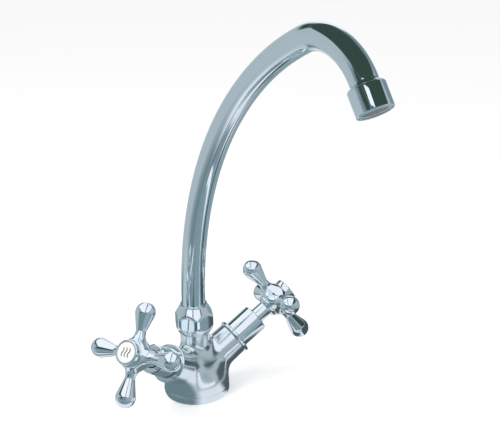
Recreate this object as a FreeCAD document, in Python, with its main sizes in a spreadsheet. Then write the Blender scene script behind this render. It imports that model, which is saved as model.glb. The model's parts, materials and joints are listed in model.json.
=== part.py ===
"""Two-handle swan-neck kitchen tap, in millimetres.

+Z is up, the origin is the centre of the base's underside, and the spout reaches towards -Y.
The cold valve is on the +X side and the hot valve on the -X side.
"""
import FreeCAD
import Part
import math
import os
import re
import Sketcher

# Every driving dimension, in millimetres or degrees. Radii are radii of the finished surface.
DIMENSIONS = {
    # Cast body: foot, shoulder and column.
    "foot_radius": 25.0,
    "foot_edge_inset": 1.0,
    "foot_swell_height": 6.5,
    "foot_edge_curve": 8.0,
    "shoulder_radius": 16.5,
    "shoulder_height": 29.0,
    "shoulder_curve": 27.0,
    "column_radius": 11.4,
    "column_blend_height": 42.0,
    "column_curve": 19.0,
    "column_top": 51.3,
    "column_step": 0.8,
    "thread_length": 12.7,
    # Valve arms.
    "arm_tilt": 32.0,
    "arm_sweep": 14.0,
    "arm_origin_height": 16.8,
    "arm_root_radius": 14.0,
    "arm_root_length": 8.0,
    "arm_end_radius": 13.4,
    "arm_length": 38.8,
    "arm_edge": 0.8,
    "body_blend": 4.0,
    # Waterways in the body.
    "chamber_radius": 9.6,
    "chamber_floor": 17.0,
    "mouth_recess_radius": 11.2,
    "mouth_recess_depth": 1.5,
    "seat_bore_radius": 4.0,
    "seat_bore_start": 8.0,
    "port_offset": 10.0,
    "port_radius": 4.5,
    "port_depth": 12.0,
    "riser_radius": 3.4,
    "cross_drill_radius": 2.2,
    "cross_drill_height": 35.5,
    "cross_drill_reach": 14.0,
    "column_bore_radius": 8.05,
    "column_bore_depth": 31.0,
    "stud_offset": 14.0,
    "stud_radius": 3.4,
    "stud_depth": 14.0,
    "base_seal_margin": 3.2,
    "base_seal_width": 3.2,
    "base_seal_height": 3.0,
    # Union nut and slip ring.
    "nut_overhang": 0.3,
    "nut_radius": 15.5,
    "nut_flat_width": 27.6,
    "nut_swell_height": 8.2,
    "nut_band_height": 5.5,
    "nut_curve": 11.0,
    "nut_neck_height": 6.2,
    "nut_lip_wall": 0.7,
    "nut_lip_height": 0.9,
    "nut_mouth_flare": 0.9,
    "nut_mouth_depth": 1.8,
    "slip_ring_height": 1.2,
    # Spout.
    "spout_angle": 7.6,
    "tube_radius": 9.0,
    "tube_wall": 1.0,
    "rise_radius": 253.0,
    "rise_angle": 64.0,
    "arch_radius": 45.2,
    "arch_angle": 82.0,
    "ferrule_length": 20.0,
    "ferrule_bore_radius": 5.5,
    "ferrule_collar_step": 0.3,
    "ferrule_collar_height": 2.6,
    "ferrule_spigot_height": 5.0,
    "spout_seal_section": 0.8,
    "lower_seal_rise": 5.0,
    "seal_spacing": 8.0,
    # Outlet, measured from the tube's end along its last direction.
    "socket_spigot": 2.0,
    "socket_bore_radius": 6.8,
    "flare_step": 0.6,
    "flare_length": 2.6,
    "flare_curve": 3.4,
    "flare_rim": 0.4,
    "socket_length": 12.4,
    "housing_radius": 11.9,
    "housing_length": 16.6,
    "housing_wall": 1.2,
    "housing_top_edge": 0.5,
    "housing_rim_inset": 0.9,
    "housing_rim_curve": 1.3,
    "housing_lip_height": 1.5,
    "housing_lip_width": 0.5,
    "aerator_seal_height": 1.2,
    "insert_plate": 1.2,
    "insert_skirt_gap": 0.3,
    "insert_skirt_wall": 1.0,
    "hole_radius": 0.6,
    "mesh_rim": 0.3,
    "screen_thickness": 0.5,
    "screen_inset": 1.2,
    # Valve, measured along the valve's own axis from the arms' meeting point.
    "housing_thread_length": 7.8,
    "seat_seal_height": 3.9,
    "seat_seal_width": 1.4,
    "housing_foot_gap": 1.0,
    "valve_housing_collar": 1.6,
    "collar_land": 0.3,
    "valve_neck_gap": 0.9,
    "valve_neck_length": 16.6,
    "disc_radius": 7.4,
    "disc_thickness": 2.0,
    "disc_window_radius": 1.6,
    "disc_window_offset": 4.2,
    "water_window_radius": 2.2,
    "spindle_radius": 4.0,
    "spindle_foot_radius": 6.6,
    "spindle_foot_height": 2.2,
    "spindle_seal_depth": 15.0,
    "spindle_seal_section": 0.75,
    "clip_radius": 5.6,
    "clip_thickness": 0.9,
    "housing_seal_section": 0.7,
    "flange_overhang": 1.2,
    "shroud_flange_height": 2.6,
    "shroud_flange_edge": 0.9,
    "shroud_radius": 11.1,
    "shroud_wall": 1.0,
    "shroud_overlap": 3.5,
    "shroud_chamfer": 0.9,
    "shroud_end_wall": 1.2,
    # Cross handle.
    "hot_handle_angle": 4.0,
    "cold_handle_angle": 15.5,
    "shank_radius": 6.2,
    "shank_gap": 1.25,
    "shank_length": 10.2,
    "hub_back_radius": 9.6,
    "hub_back_height": 3.2,
    "hub_back_curve": 3.6,
    "hub_radius": 11.4,
    "hub_swell_height": 7.6,
    "hub_band_height": 6.5,
    "hub_side_curve": 7.5,
    "hub_front_radius": 9.9,
    "hub_height": 18.6,
    "hub_front_curve": 6.0,
    "handle_plane_height": 11.1,
    "arm_root_margin": 0.5,
    "arm_root_start": 7.5,
    "arm_neck": 3.8,
    "arm_neck_at": 17.5,
    "knob_radius": 7.1,
    "knob_at": 31.7,
    "screw_seat_height": 6.1,
    "screw_land": 5.0,
    "screw_radius": 2.0,
    "screw_head_radius": 3.7,
    "screw_head_height": 2.6,
    "screw_length": 12.0,
    "cap_radius": 9.3,
    "cap_wall": 1.8,
    "cap_height": 4.8,
    "cap_edge": 0.8,
    "cap_floor": 2.4,
    "cap_spigot_radius": 4.3,
    "cap_spigot_height": 2.0,
    "index_dome": 0.6,
    "index_recess": 0.3,
    # Clearances and margins.
    "running_clearance": 0.05,
    "thread_clearance": 0.05,
    "disc_clearance": 0.05,
    "slip_clearance": 0.15,
    "turning_gap": 0.35,
    "groove_margin": 0.08,
    "drill_run_out": 10.0,
}
SCREEN_RINGS = 4
PLATE_RINGS = 3
HOLES_PER_RING = 6
HANDLE_ARMS = 4
NUT_SIDES = 6
SIDES = ("hot", "cold")
PARTS_FOLDER = "parts"

# What follows from the driving dimensions, as formulas. First the column's stack, from the casting up.
THREAD_RADIUS = "(column_radius - column_step)"
THREAD_TOP = "(column_top + thread_length)"
FERRULE_RADIUS = "(column_bore_radius - running_clearance)"
FERRULE_BOTTOM = f"({THREAD_TOP} - ferrule_length)"
COLLAR_BOTTOM = f"({THREAD_TOP} + running_clearance)"
TUBE_BOTTOM = f"({COLLAR_BOTTOM} + ferrule_collar_height)"
SLIP_BOTTOM = f"({TUBE_BOTTOM} + slip_clearance)"
NUT_SHOULDER = f"({SLIP_BOTTOM} + slip_ring_height)"
NUT_TOP = f"({NUT_SHOULDER} + nut_neck_height)"
NUT_THROAT = "(tube_radius + running_clearance)"
LOWER_SEAL = f"({FERRULE_BOTTOM} + lower_seal_rise)"
UPPER_SEAL = f"({LOWER_SEAL} + seal_spacing)"
BASE_SEAL_OUTER = "(foot_radius - base_seal_margin)"
BASE_SEAL_INNER = f"({BASE_SEAL_OUTER} - base_seal_width)"

# A valve's stack, along its own axis.
VALVE_BOTTOM = "(chamber_floor + seat_seal_height)"
DISCS_MEET = f"({VALVE_BOTTOM} + disc_thickness)"
MOVING_BOTTOM = f"({DISCS_MEET} + disc_clearance)"
SPINDLE_FOOT = f"({MOVING_BOTTOM} + disc_thickness)"
CAVITY_TOP = f"({SPINDLE_FOOT} + spindle_foot_height + disc_clearance)"
VALVE_COLLAR_TOP = "(arm_length + valve_housing_collar)"
VALVE_TOP = f"({VALVE_COLLAR_TOP} + valve_neck_length)"
CLIP_BOTTOM = f"({VALVE_TOP} + disc_clearance)"
CLIP_TOP = f"({CLIP_BOTTOM} + clip_thickness)"
SPINDLE_SEAL = f"({VALVE_TOP} - spindle_seal_depth)"
SHANK_BOTTOM = f"({CLIP_TOP} + shank_gap)"
SHROUD_END = f"({SHANK_BOTTOM} + shroud_overlap)"
HUB_BACK = f"({SHROUD_END} + shank_length)"
HUB_FRONT = f"({HUB_BACK} + hub_height)"
HANDLE_PLANE = f"({HUB_BACK} + handle_plane_height)"
SCREW_SEAT = f"({HUB_BACK} + screw_seat_height)"
SCREW_END = f"({SCREW_SEAT} - screw_length)"
SPINDLE_TOP = f"({SCREW_SEAT} - screw_land)"
CAVITY_RADIUS = "(disc_radius + thread_clearance)"
VALVE_COLLAR_RADIUS = "(mouth_recess_radius + collar_land)"
SHROUD_BORE = "(shroud_radius - shroud_wall)"
CAP_TOP = f"({HUB_FRONT} + cap_height)"
CAP_FLOOR = f"({HUB_FRONT} + cap_floor)"
INDEX_RADIUS = "(cap_radius - cap_wall)"

# The outlet's stack, along the tube's last direction.
RIM_TOP = "(flare_length + flare_rim)"
HOUSING_BORE = "(housing_radius - housing_wall)"
HOUSING_END = f"({RIM_TOP} + housing_length)"
HOUSING_LIP = f"({HOUSING_END} - housing_lip_height)"
LIP_RADIUS = f"({HOUSING_BORE} - housing_lip_width)"
SOCKET_RADIUS = f"({HOUSING_BORE} - thread_clearance)"
WASHER_BOTTOM = "(socket_length + running_clearance)"
PLATE_BOTTOM = f"({WASHER_BOTTOM} + aerator_seal_height)"
PLATE_TOP = f"({PLATE_BOTTOM} + insert_plate)"
SKIRT_RADIUS = f"({LIP_RADIUS} - insert_skirt_gap)"
SKIRT_BORE = f"({SKIRT_RADIUS} - insert_skirt_wall)"
SKIRT_END = f"({HOUSING_END} - screen_inset)"
SCREEN_BOTTOM = f"({SKIRT_END} - screen_thickness)"
HOLE_PITCH = f"(({SKIRT_BORE} - hole_radius - mesh_rim) / {SCREEN_RINGS})"

document = FreeCAD.newDocument("kitchen_tap")
sheet = document.addObject("Spreadsheet::Sheet", "dims")
for row, (alias, value) in enumerate(DIMENSIONS.items(), start=1):
    sheet.set(f"A{row}", alias)
    sheet.set(f"B{row}", str(value))
    sheet.setAlias(f"B{row}", alias)
document.recompute()

pieces = []


def bound(formula):
    """The formula with each dimension's name pointing at its cell."""
    return re.sub(r"[a-z_]+", lambda word: "dims." + word[0] if word[0] in DIMENSIONS else word[0], formula)


def size(formula):
    """The present value of a formula of dimensions."""
    return float(sheet.evalExpression(bound(formula)))


def volume(shape):
    return sum(solid.Volume for solid in shape.Solids)


def keep(feature, label):
    """Marks a feature as a finished piece."""
    feature.Label = label
    pieces.append(feature)
    return feature


def new_body(name):
    return document.addObject("PartDesign::Body", name)


def origin_plane(body, role):
    return next(item for item in body.Origin.OriginFeatures if item.Role == role)


def sketch_on(body, name, plane, height=None):
    """A sketch on one of the body's own origin planes, raised along the body's Z axis by a formula."""
    sketch = body.newObject("Sketcher::SketchObject", name)
    sketch.AttachmentSupport = (origin_plane(body, plane), [""])
    sketch.MapMode = "FlatFace"
    if height:
        along = ".AttachmentOffset.Base.z" if plane == "XY_Plane" else ".AttachmentOffset.Base.y"
        sketch.setExpression(along, bound(height))
    return sketch


def arc_between(start, end, radius, turn):
    """The arc of a radius from start to end; turn is 1 when it bends to the left, -1 to the right."""
    chord = end - start
    reach = math.sqrt(max(radius ** 2 - (chord.Length / 2) ** 2, 0.0))
    left = FreeCAD.Vector(-chord.y, chord.x, 0).normalize()
    centre = (start + end) / 2 + left * reach * turn
    normal = FreeCAD.Vector(0, 0, 1)
    first, last = (start, end) if turn > 0 else (end, start)
    circle = Part.Circle(centre, normal, radius)
    return Part.ArcOfCircle(circle, circle.parameter(first), circle.parameter(last))


def outline(sketch, points, closed=True):
    """Draws lines and arcs through points, each point and radius bound to its formulas.

    A point is (across, up) and is reached by a line, or (across, up, radius, turn) and is reached by an arc.
    """
    corners = [FreeCAD.Vector(size(point[0]), size(point[1]), 0) for point in points]
    steps = range(len(points)) if closed else range(1, len(points))
    edges = []
    for index in steps:
        start, end, point = corners[index - 1], corners[index], points[index]
        if len(point) == 2:
            sketch.addGeometry(Part.LineSegment(start, end), False)
            edges.append((index, 1, 2))
            continue
        sketch.addGeometry(arc_between(start, end, size(point[2]), point[3]), False)
        edges.append((index, 1, 2) if point[3] > 0 else (index, 2, 1))
    ends = {}
    for edge, (index, start_vertex, end_vertex) in enumerate(edges):
        ends.setdefault((index - 1) % len(points), []).append((edge, start_vertex))
        ends.setdefault(index, []).append((edge, end_vertex))
    for index, vertices in ends.items():
        edge, vertex = vertices[0]
        if len(vertices) == 2:
            sketch.addConstraint(Sketcher.Constraint("Coincident", edge, vertex, *vertices[1]))
        for kind, formula, value, axis in (
            ("DistanceX", points[index][0], corners[index].x, -2),
            ("DistanceY", points[index][1], corners[index].y, -1),
        ):
            if formula == "0":
                sketch.addConstraint(Sketcher.Constraint("PointOnObject", edge, vertex, axis))
                continue
            place = sketch.addConstraint(Sketcher.Constraint(kind, edge, vertex, value))
            sketch.setExpression(f"Constraints[{place}]", bound(formula))
    for edge, (index, _, _) in enumerate(edges):
        if len(points[index]) == 4:
            place = sketch.addConstraint(Sketcher.Constraint("Radius", edge, size(points[index][2])))
            sketch.setExpression(f"Constraints[{place}]", bound(points[index][2]))


def turned(name, points, plane="XZ_Plane"):
    """A solid of revolution about the body's Z axis; points are (radius, height) formulas."""
    body = new_body(name)
    sketch = sketch_on(body, name + "_outline", plane)
    outline(sketch, points)
    revolution = body.newObject("PartDesign::Revolution", name + "_turning")
    revolution.Profile = sketch
    revolution.ReferenceAxis = (sketch, ["V_Axis"])
    revolution.Angle = 360
    document.recompute()
    return body


def ring(name, inner, outer, bottom, top):
    return turned(name, [(inner, bottom), (outer, bottom), (outer, top), (inner, top)])


def disc(name, radius, bottom, top):
    return turned(name, [("0", bottom), (radius, bottom), (radius, top), ("0", top)])


def round_ring(name, middle, section, placement):
    """An O-ring."""
    torus = document.addObject("Part::Torus", name)
    torus.setExpression("Radius1", bound(middle))
    torus.setExpression("Radius2", bound(section))
    torus.setExpression("Placement", bound(placement))
    return torus


def drill(name, radius, depth, placement):
    """A drill's cylinder, with its own placement formula."""
    cylinder = document.addObject("Part::Cylinder", name)
    cylinder.setExpression("Radius", bound(radius))
    cylinder.setExpression("Height", bound(depth))
    cylinder.setExpression("Placement", bound(placement))
    return cylinder


def pocket_circle(body, name, radius, across, away, plane_height, depth):
    """Drills a round hole parallel to the body's axis, upwards from a height; the volume must fall."""
    sketch = sketch_on(body, name + "_circle", "XY_Plane", plane_height)
    sketch.addGeometry(Part.Circle(FreeCAD.Vector(size(across), size(away), 0),
                                   FreeCAD.Vector(0, 0, 1), size(radius)), False)
    bind_point(sketch, 0, 3, across, away)
    place = sketch.addConstraint(Sketcher.Constraint("Radius", 0, size(radius)))
    sketch.setExpression(f"Constraints[{place}]", bound(radius))
    pocket = body.newObject("PartDesign::Pocket", name)
    pocket.Profile = sketch
    pocket.setExpression("Length", bound(depth))
    pocket.Reversed = True
    document.recompute()
    return pocket


def bind_point(sketch, geometry, vertex, across, away):
    for kind, formula, axis in (("DistanceX", across, -2), ("DistanceY", away, -1)):
        if formula == "0":
            sketch.addConstraint(Sketcher.Constraint("PointOnObject", geometry, vertex, axis))
            continue
        place = sketch.addConstraint(Sketcher.Constraint(kind, geometry, vertex, size(formula)))
        sketch.setExpression(f"Constraints[{place}]", bound(formula))


def around(body, name, feature, copies):
    """Repeats a feature about the body's Z axis."""
    pattern = body.newObject("PartDesign::PolarPattern", name)
    pattern.Originals = [feature]
    pattern.Axis = (origin_plane(body, "Z_Axis"), [""])
    pattern.Angle = 360
    pattern.Occurrences = copies
    body.Tip = pattern
    document.recompute()
    return pattern


def hole_rings(body, name, rings, bottom, depth):
    """A centre hole and rings of holes about it, drilled upwards."""
    before = volume(body.Shape)
    pocket_circle(body, name + "_centre", "hole_radius", "0", "0", bottom, depth)
    for number in range(1, rings + 1):
        across = f"{number} * {HOLE_PITCH}"
        hole = pocket_circle(body, f"{name}_{number}", "hole_radius", across, "0", bottom, depth)
        around(body, f"{name}_ring_{number}", hole, HOLES_PER_RING * number)
    check_cut(body, before)


def check_cut(body, before):
    if volume(body.Shape) >= before:
        raise RuntimeError(f"{body.Label}: a cut removed nothing")


def fused(name, members):
    union = document.addObject("Part::MultiFuse", name)
    union.Shapes = members
    document.recompute()
    return union


def cut(name, base, tools):
    """The base less every tool; the volume must fall."""
    result = document.addObject("Part::Cut", name)
    result.Base = base
    result.Tool = tools[0] if len(tools) == 1 else fused(name + "_tools", tools)
    document.recompute()
    check_cut(result, volume(base.Shape))
    return result


# Placement formulas: the valve axes, the spout's plane and the outlet's direction.

def raised(height):
    """A placement straight up a piece's own Z axis."""
    return f"placement(vector(0; 0; {height}); rotation(0; 0; 0))"


def arm_heading(side):
    return "-arm_sweep" if side == "cold" else "180 + arm_sweep"


def valve_place(side, turn="0"):
    """The placement that lays a valve piece's Z axis along its arm, turned about it by a formula."""
    return (
        f"placement(vector(0; 0; arm_origin_height); rotation(vector(0; 0; 1); {arm_heading(side)})"
        f" * rotation(vector(0; 1; 0); 90 - arm_tilt) * rotation(vector(0; 0; 1); {turn}))"
    )


def handle_turn(side):
    return "hot_handle_angle" if side == "hot" else "-cold_handle_angle"


def on_valve(piece, side, label, turn="0"):
    piece.setExpression("Placement", bound(valve_place(side, turn)))
    return keep(piece, f"{side}_{label}")


def beside(side, distance, height):
    """A vertical hole's placement, out from the centre under a side's arm."""
    heading = arm_heading(side)
    return (
        f"placement(vector({distance} * cos({heading}); {distance} * sin({heading}); {height});"
        f" rotation(0; 0; 0))"
    )


SPOUT_PLACE = "placement(vector(0; 0; 0); rotation(vector(0; 0; 1); -spout_angle))"
ARCH_END = "(rise_angle + arch_angle)"
OUTLET_REACH = f"(rise_radius * (1 - cos(rise_angle)) + arch_radius * (cos(rise_angle) - cos({ARCH_END})))"
OUTLET_HEIGHT = (
    f"({NUT_TOP} + rise_radius * sin(rise_angle) + arch_radius * (sin({ARCH_END}) - sin(rise_angle)))"
)
OUTLET_PLACE = (
    f"placement(vector(-{OUTLET_REACH} * sin(spout_angle); -{OUTLET_REACH} * cos(spout_angle);"
    f" {OUTLET_HEIGHT}); rotation(vector(0; 0; 1); -spout_angle) * rotation(vector(1; 0; 0); {ARCH_END}))"
)


# Fixed pieces.

def make_mixer_body():
    """The casting: turned foot and column, two arms, blended where they meet, then drilled."""
    core = turned("body_core", [
        ("0", "0"),
        ("foot_radius - foot_edge_inset", "0"),
        ("foot_radius", "foot_swell_height", "foot_edge_curve", 1),
        ("shoulder_radius", "shoulder_height", "shoulder_curve", 1),
        ("column_radius", "column_blend_height", "column_curve", -1),
        ("column_radius", "column_top"),
        (THREAD_RADIUS, "column_top"),
        (THREAD_RADIUS, THREAD_TOP),
        ("0", THREAD_TOP),
    ], plane="YZ_Plane")
    arms = [make_arm(side) for side in SIDES]
    union = fused("body_union", [core] + arms)
    blank = blend_seams(union)
    drills = [
        drill("column_bore", "column_bore_radius", "column_bore_depth",
              raised(f"{THREAD_TOP} - column_bore_depth")),
        drill("stud_hole", "stud_radius", "stud_depth",
              "placement(vector(0; stud_offset; 0); rotation(0; 0; 0))"),
        ring("base_groove", BASE_SEAL_INNER, BASE_SEAL_OUTER, "0", "base_seal_height"),
    ]
    for side in SIDES:
        drills += make_waterway(side)
    return keep(cut("mixer_casting", blank, drills), "mixer_body")


def make_arm(side):
    """One valve arm, slightly wider at its root, with an eased mouth."""
    arm = turned(f"{side}_arm", [
        ("0", "0"),
        ("arm_root_radius", "0"),
        ("arm_root_radius", "arm_root_length"),
        ("arm_end_radius", "arm_length - arm_edge"),
        ("arm_end_radius - arm_edge", "arm_length"),
        ("0", "arm_length"),
    ])
    arm.setExpression("Placement", bound(valve_place(side)))
    return arm


def blend_seams(union):
    """Rounds the valleys where the arms leave the foot and the column: the only free-form edges."""
    radius = size("body_blend")
    rounded = document.addObject("Part::Fillet", "body_blank")
    rounded.Base = union
    rounded.Edges = [
        (number, radius, radius)
        for number, edge in enumerate(union.Shape.Edges, start=1)
        if edge.Curve.TypeId == "Part::GeomBSplineCurve"
    ]
    document.recompute()
    return rounded


def make_waterway(side):
    """Hose port, riser, seat bore, valve chamber, mouth recess and the drilling to the column."""
    heading = arm_heading(side)
    along = valve_place(side)
    return [
        drill(f"{side}_port", "port_radius", "port_depth", beside(side, "port_offset", "0")),
        drill(f"{side}_riser", "riser_radius",
              "arm_origin_height + port_offset * tan(arm_tilt)", beside(side, "port_offset", "0")),
        drill(f"{side}_seat_bore", "seat_bore_radius", "chamber_floor - seat_bore_start",
              f"{along} * {raised('seat_bore_start')}"),
        drill(f"{side}_chamber", "chamber_radius", "arm_length - chamber_floor",
              f"{along} * {raised('chamber_floor')}"),
        drill(f"{side}_mouth", "mouth_recess_radius", "mouth_recess_depth",
              f"{along} * {raised('arm_length - mouth_recess_depth')}"),
        drill(f"{side}_cross_drill", "cross_drill_radius", "cross_drill_reach",
              f"placement(vector(0; 0; cross_drill_height); rotation(vector(0; 0; 1); {heading})"
              f" * rotation(vector(0; 1; 0); 90))"),
    ]


def make_spout_nut():
    """The union nut: a turned blank with a conical lip, cut by six flats, over the column's thread."""
    bore = f"{THREAD_RADIUS} + thread_clearance"
    mouth = f"{NUT_THROAT} + nut_mouth_flare"
    swell_bottom = "column_top + nut_swell_height"
    blank = turned("nut_blank", [
        (bore, "column_top"),
        ("column_radius + nut_overhang", "column_top"),
        ("nut_radius", swell_bottom, "nut_curve", 1),
        ("nut_radius", f"{swell_bottom} + nut_band_height"),
        (f"{mouth} + nut_lip_wall", f"{NUT_TOP} - nut_lip_height"),
        (f"{mouth} + nut_lip_wall", NUT_TOP),
        (mouth, NUT_TOP),
        (NUT_THROAT, f"{NUT_TOP} - nut_mouth_depth"),
        (NUT_THROAT, NUT_SHOULDER),
        (bore, NUT_SHOULDER),
    ])
    flats = document.addObject("Part::Prism", "nut_flats")
    flats.Polygon = NUT_SIDES
    flats.setExpression("Circumradius", bound(f"nut_flat_width / 2 / cos(180 / {NUT_SIDES})"))
    flats.setExpression("Height", bound(NUT_TOP))
    nut = document.addObject("Part::Common", "nut_body")
    nut.Base = blank
    nut.Tool = flats
    document.recompute()
    return keep(nut, "spout_nut")


def make_rings():
    keep(ring("base_ring", BASE_SEAL_INNER, BASE_SEAL_OUTER, "0", "base_seal_height"), "base_seal")
    keep(ring("nylon_ring", NUT_THROAT, THREAD_RADIUS, SLIP_BOTTOM, NUT_SHOULDER), "slip_ring")


def make_fixed_valve(side):
    """What stays still in one arm: seat seal, fixed disc, housing with its seal, and the shroud."""
    bore = "spindle_radius + running_clearance"
    foot = "chamber_radius - housing_foot_gap"
    thread = "chamber_radius - thread_clearance"
    thread_start = "arm_length - housing_thread_length"
    neck = f"{SHROUD_BORE} - valve_neck_gap"
    on_valve(ring(f"{side}_seat", "disc_radius - seat_seal_width", "disc_radius", "chamber_floor",
                  VALVE_BOTTOM), side, "seat_seal")
    still = disc(f"{side}_still", "disc_radius", VALVE_BOTTOM, DISCS_MEET)
    cut_windows(still, f"{side}_still_window", VALVE_BOTTOM)
    on_valve(still, side, "fixed_disc")
    housing = turned(f"{side}_housing_blank", [
        (CAVITY_RADIUS, VALVE_BOTTOM),
        (foot, VALVE_BOTTOM),
        (foot, thread_start),
        (thread, thread_start),
        (thread, "arm_length"),
        (VALVE_COLLAR_RADIUS, "arm_length"),
        (VALVE_COLLAR_RADIUS, VALVE_COLLAR_TOP),
        (neck, VALVE_COLLAR_TOP),
        (neck, VALVE_TOP),
        (bore, VALVE_TOP),
        (bore, CAVITY_TOP),
        (CAVITY_RADIUS, CAVITY_TOP),
    ])
    window = drill(f"{side}_water_window", "water_window_radius", "2 * (chamber_radius + drill_run_out)",
                   f"placement(vector(-chamber_radius - drill_run_out; 0; {CAVITY_TOP});"
                   f" rotation(vector(0; 1; 0); 90))")
    on_valve(cut(f"{side}_housing_cut", housing, [window]), side, "valve_housing")
    mouth = round_ring(f"{side}_mouth_ring", "mouth_recess_radius - housing_seal_section",
                       "housing_seal_section",
                       f"{valve_place(side)} * {raised('arm_length - housing_seal_section')}")
    keep(mouth, f"{side}_housing_seal")
    make_shroud(side)


def cut_windows(body, name, bottom):
    """Two water windows, opposite each other, through a disc."""
    before = volume(body.Shape)
    hole = pocket_circle(body, name, "disc_window_radius", "disc_window_offset", "0", bottom,
                         "disc_thickness")
    around(body, name + "s", hole, 2)
    check_cut(body, before)


def make_shroud(side):
    """The chrome cover: a rounded flange on the arm's mouth and a plain sleeve with a closed end."""
    flange = "(arm_end_radius + flange_overhang)"
    flange_top = "arm_length + shroud_flange_height"
    socket = f"{VALVE_COLLAR_RADIUS} + thread_clearance"
    shoulder = f"{VALVE_COLLAR_TOP} + thread_clearance"
    shank_hole = "shank_radius + turning_gap"
    shroud = turned(f"{side}_cover", [
        (socket, "arm_length"),
        (f"{flange} - shroud_flange_edge", "arm_length"),
        (flange, "arm_length + shroud_flange_edge", "shroud_flange_edge", 1),
        (flange, f"{flange_top} - shroud_flange_edge"),
        (f"{flange} - shroud_flange_edge", flange_top, "shroud_flange_edge", 1),
        ("shroud_radius", flange_top),
        ("shroud_radius", f"{SHROUD_END} - shroud_chamfer"),
        ("shroud_radius - shroud_chamfer", SHROUD_END),
        (shank_hole, SHROUD_END),
        (shank_hole, f"{SHROUD_END} - shroud_end_wall"),
        (SHROUD_BORE, f"{SHROUD_END} - shroud_end_wall"),
        (SHROUD_BORE, shoulder),
        (socket, shoulder),
    ])
    on_valve(shroud, side, "valve_shroud")


# Pieces that turn with a handle.

def make_moving_valve(side):
    """Spindle, moving disc, seal and clip of one valve."""
    turn = handle_turn(side)
    moving = disc(f"{side}_slider", "disc_radius - turning_gap", MOVING_BOTTOM, SPINDLE_FOOT)
    cut_windows(moving, f"{side}_slider_window", MOVING_BOTTOM)
    on_valve(moving, side, "moving_disc", turn)
    foot_top = f"{SPINDLE_FOOT} + spindle_foot_height"
    groove_floor = "spindle_radius - 2 * spindle_seal_section - running_clearance"
    groove_half = "(spindle_seal_section + groove_margin)"
    clip_floor = "spindle_radius - clip_thickness"
    spindle = turned(f"{side}_stem", [
        ("0", SPINDLE_FOOT),
        ("spindle_foot_radius", SPINDLE_FOOT),
        ("spindle_foot_radius", foot_top),
        ("spindle_radius", foot_top),
        ("spindle_radius", f"{SPINDLE_SEAL} - {groove_half}"),
        (groove_floor, f"{SPINDLE_SEAL} - {groove_half}"),
        (groove_floor, f"{SPINDLE_SEAL} + {groove_half}"),
        ("spindle_radius", f"{SPINDLE_SEAL} + {groove_half}"),
        ("spindle_radius", CLIP_BOTTOM),
        (clip_floor, CLIP_BOTTOM),
        (clip_floor, CLIP_TOP),
        ("spindle_radius", CLIP_TOP),
        ("spindle_radius", SPINDLE_TOP),
        ("screw_radius", SPINDLE_TOP),
        ("screw_radius", SCREW_END),
        ("0", SCREW_END),
    ])
    on_valve(spindle, side, "valve_spindle", turn)
    seal = round_ring(f"{side}_stem_ring", "spindle_radius - spindle_seal_section", "spindle_seal_section",
                      f"{valve_place(side)} * {raised(SPINDLE_SEAL)}")
    keep(seal, f"{side}_spindle_seal")
    on_valve(ring(f"{side}_clip", clip_floor, "clip_radius", CLIP_BOTTOM, CLIP_TOP),
             side, "spindle_clip", turn)


def make_handle(side):
    """The cross handle: turned hub with its shank, and four club-shaped arms."""
    socket = "spindle_radius"
    swell_top = f"{HUB_BACK} + hub_swell_height"
    hub = turned(f"{side}_cross", [
        (socket, SHANK_BOTTOM),
        ("shank_radius", SHANK_BOTTOM),
        ("shank_radius", HUB_BACK),
        ("hub_back_radius", f"{HUB_BACK} + hub_back_height", "hub_back_curve", 1),
        ("hub_radius", swell_top, "hub_side_curve", 1),
        ("hub_radius", f"{swell_top} + hub_band_height"),
        ("hub_front_radius", HUB_FRONT, "hub_front_curve", 1),
        ("cap_spigot_radius", HUB_FRONT),
        ("cap_spigot_radius", SCREW_SEAT),
        ("screw_radius", SCREW_SEAT),
        ("screw_radius", SPINDLE_TOP),
        (socket, SPINDLE_TOP),
    ])
    sketch = sketch_on(hub, f"{side}_club", "XZ_Plane", HANDLE_PLANE)
    outline(sketch, club_points())
    club = hub.newObject("PartDesign::Revolution", f"{side}_arm_turning")
    club.Profile = sketch
    club.ReferenceAxis = (sketch, ["H_Axis"])
    club.Angle = 360
    document.recompute()
    around(hub, f"{side}_four_arms", club, HANDLE_ARMS)
    on_valve(hub, side, "cross_handle", handle_turn(side))


def club_points():
    """An arm's half outline: a hollow flare at the hub, a slim neck, a straight swell and a ball end."""
    arm_root = "(hub_height - handle_plane_height - arm_root_margin)"
    rise = f"({arm_root} - arm_neck)"
    run = "(arm_neck_at - arm_root_start)"
    flare = f"({run} * {run} + {rise} * {rise}) / 2 / {rise}"
    reach = "(knob_at - arm_neck_at)"
    # The straight swell touches the ball where its slope is the ball's own tangent.
    distance = f"sqrt({reach} * {reach} + arm_neck * arm_neck)"
    slope = f"(asin(knob_radius / ({distance})) - atan(arm_neck / {reach}))"
    return [
        ("arm_root_start", "0"),
        ("arm_root_start", arm_root),
        ("arm_neck_at", "arm_neck", flare, 1),
        (f"knob_at - knob_radius * sin({slope})", f"knob_radius * cos({slope})"),
        ("knob_at + knob_radius", "0", "knob_radius", -1),
    ]


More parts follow.
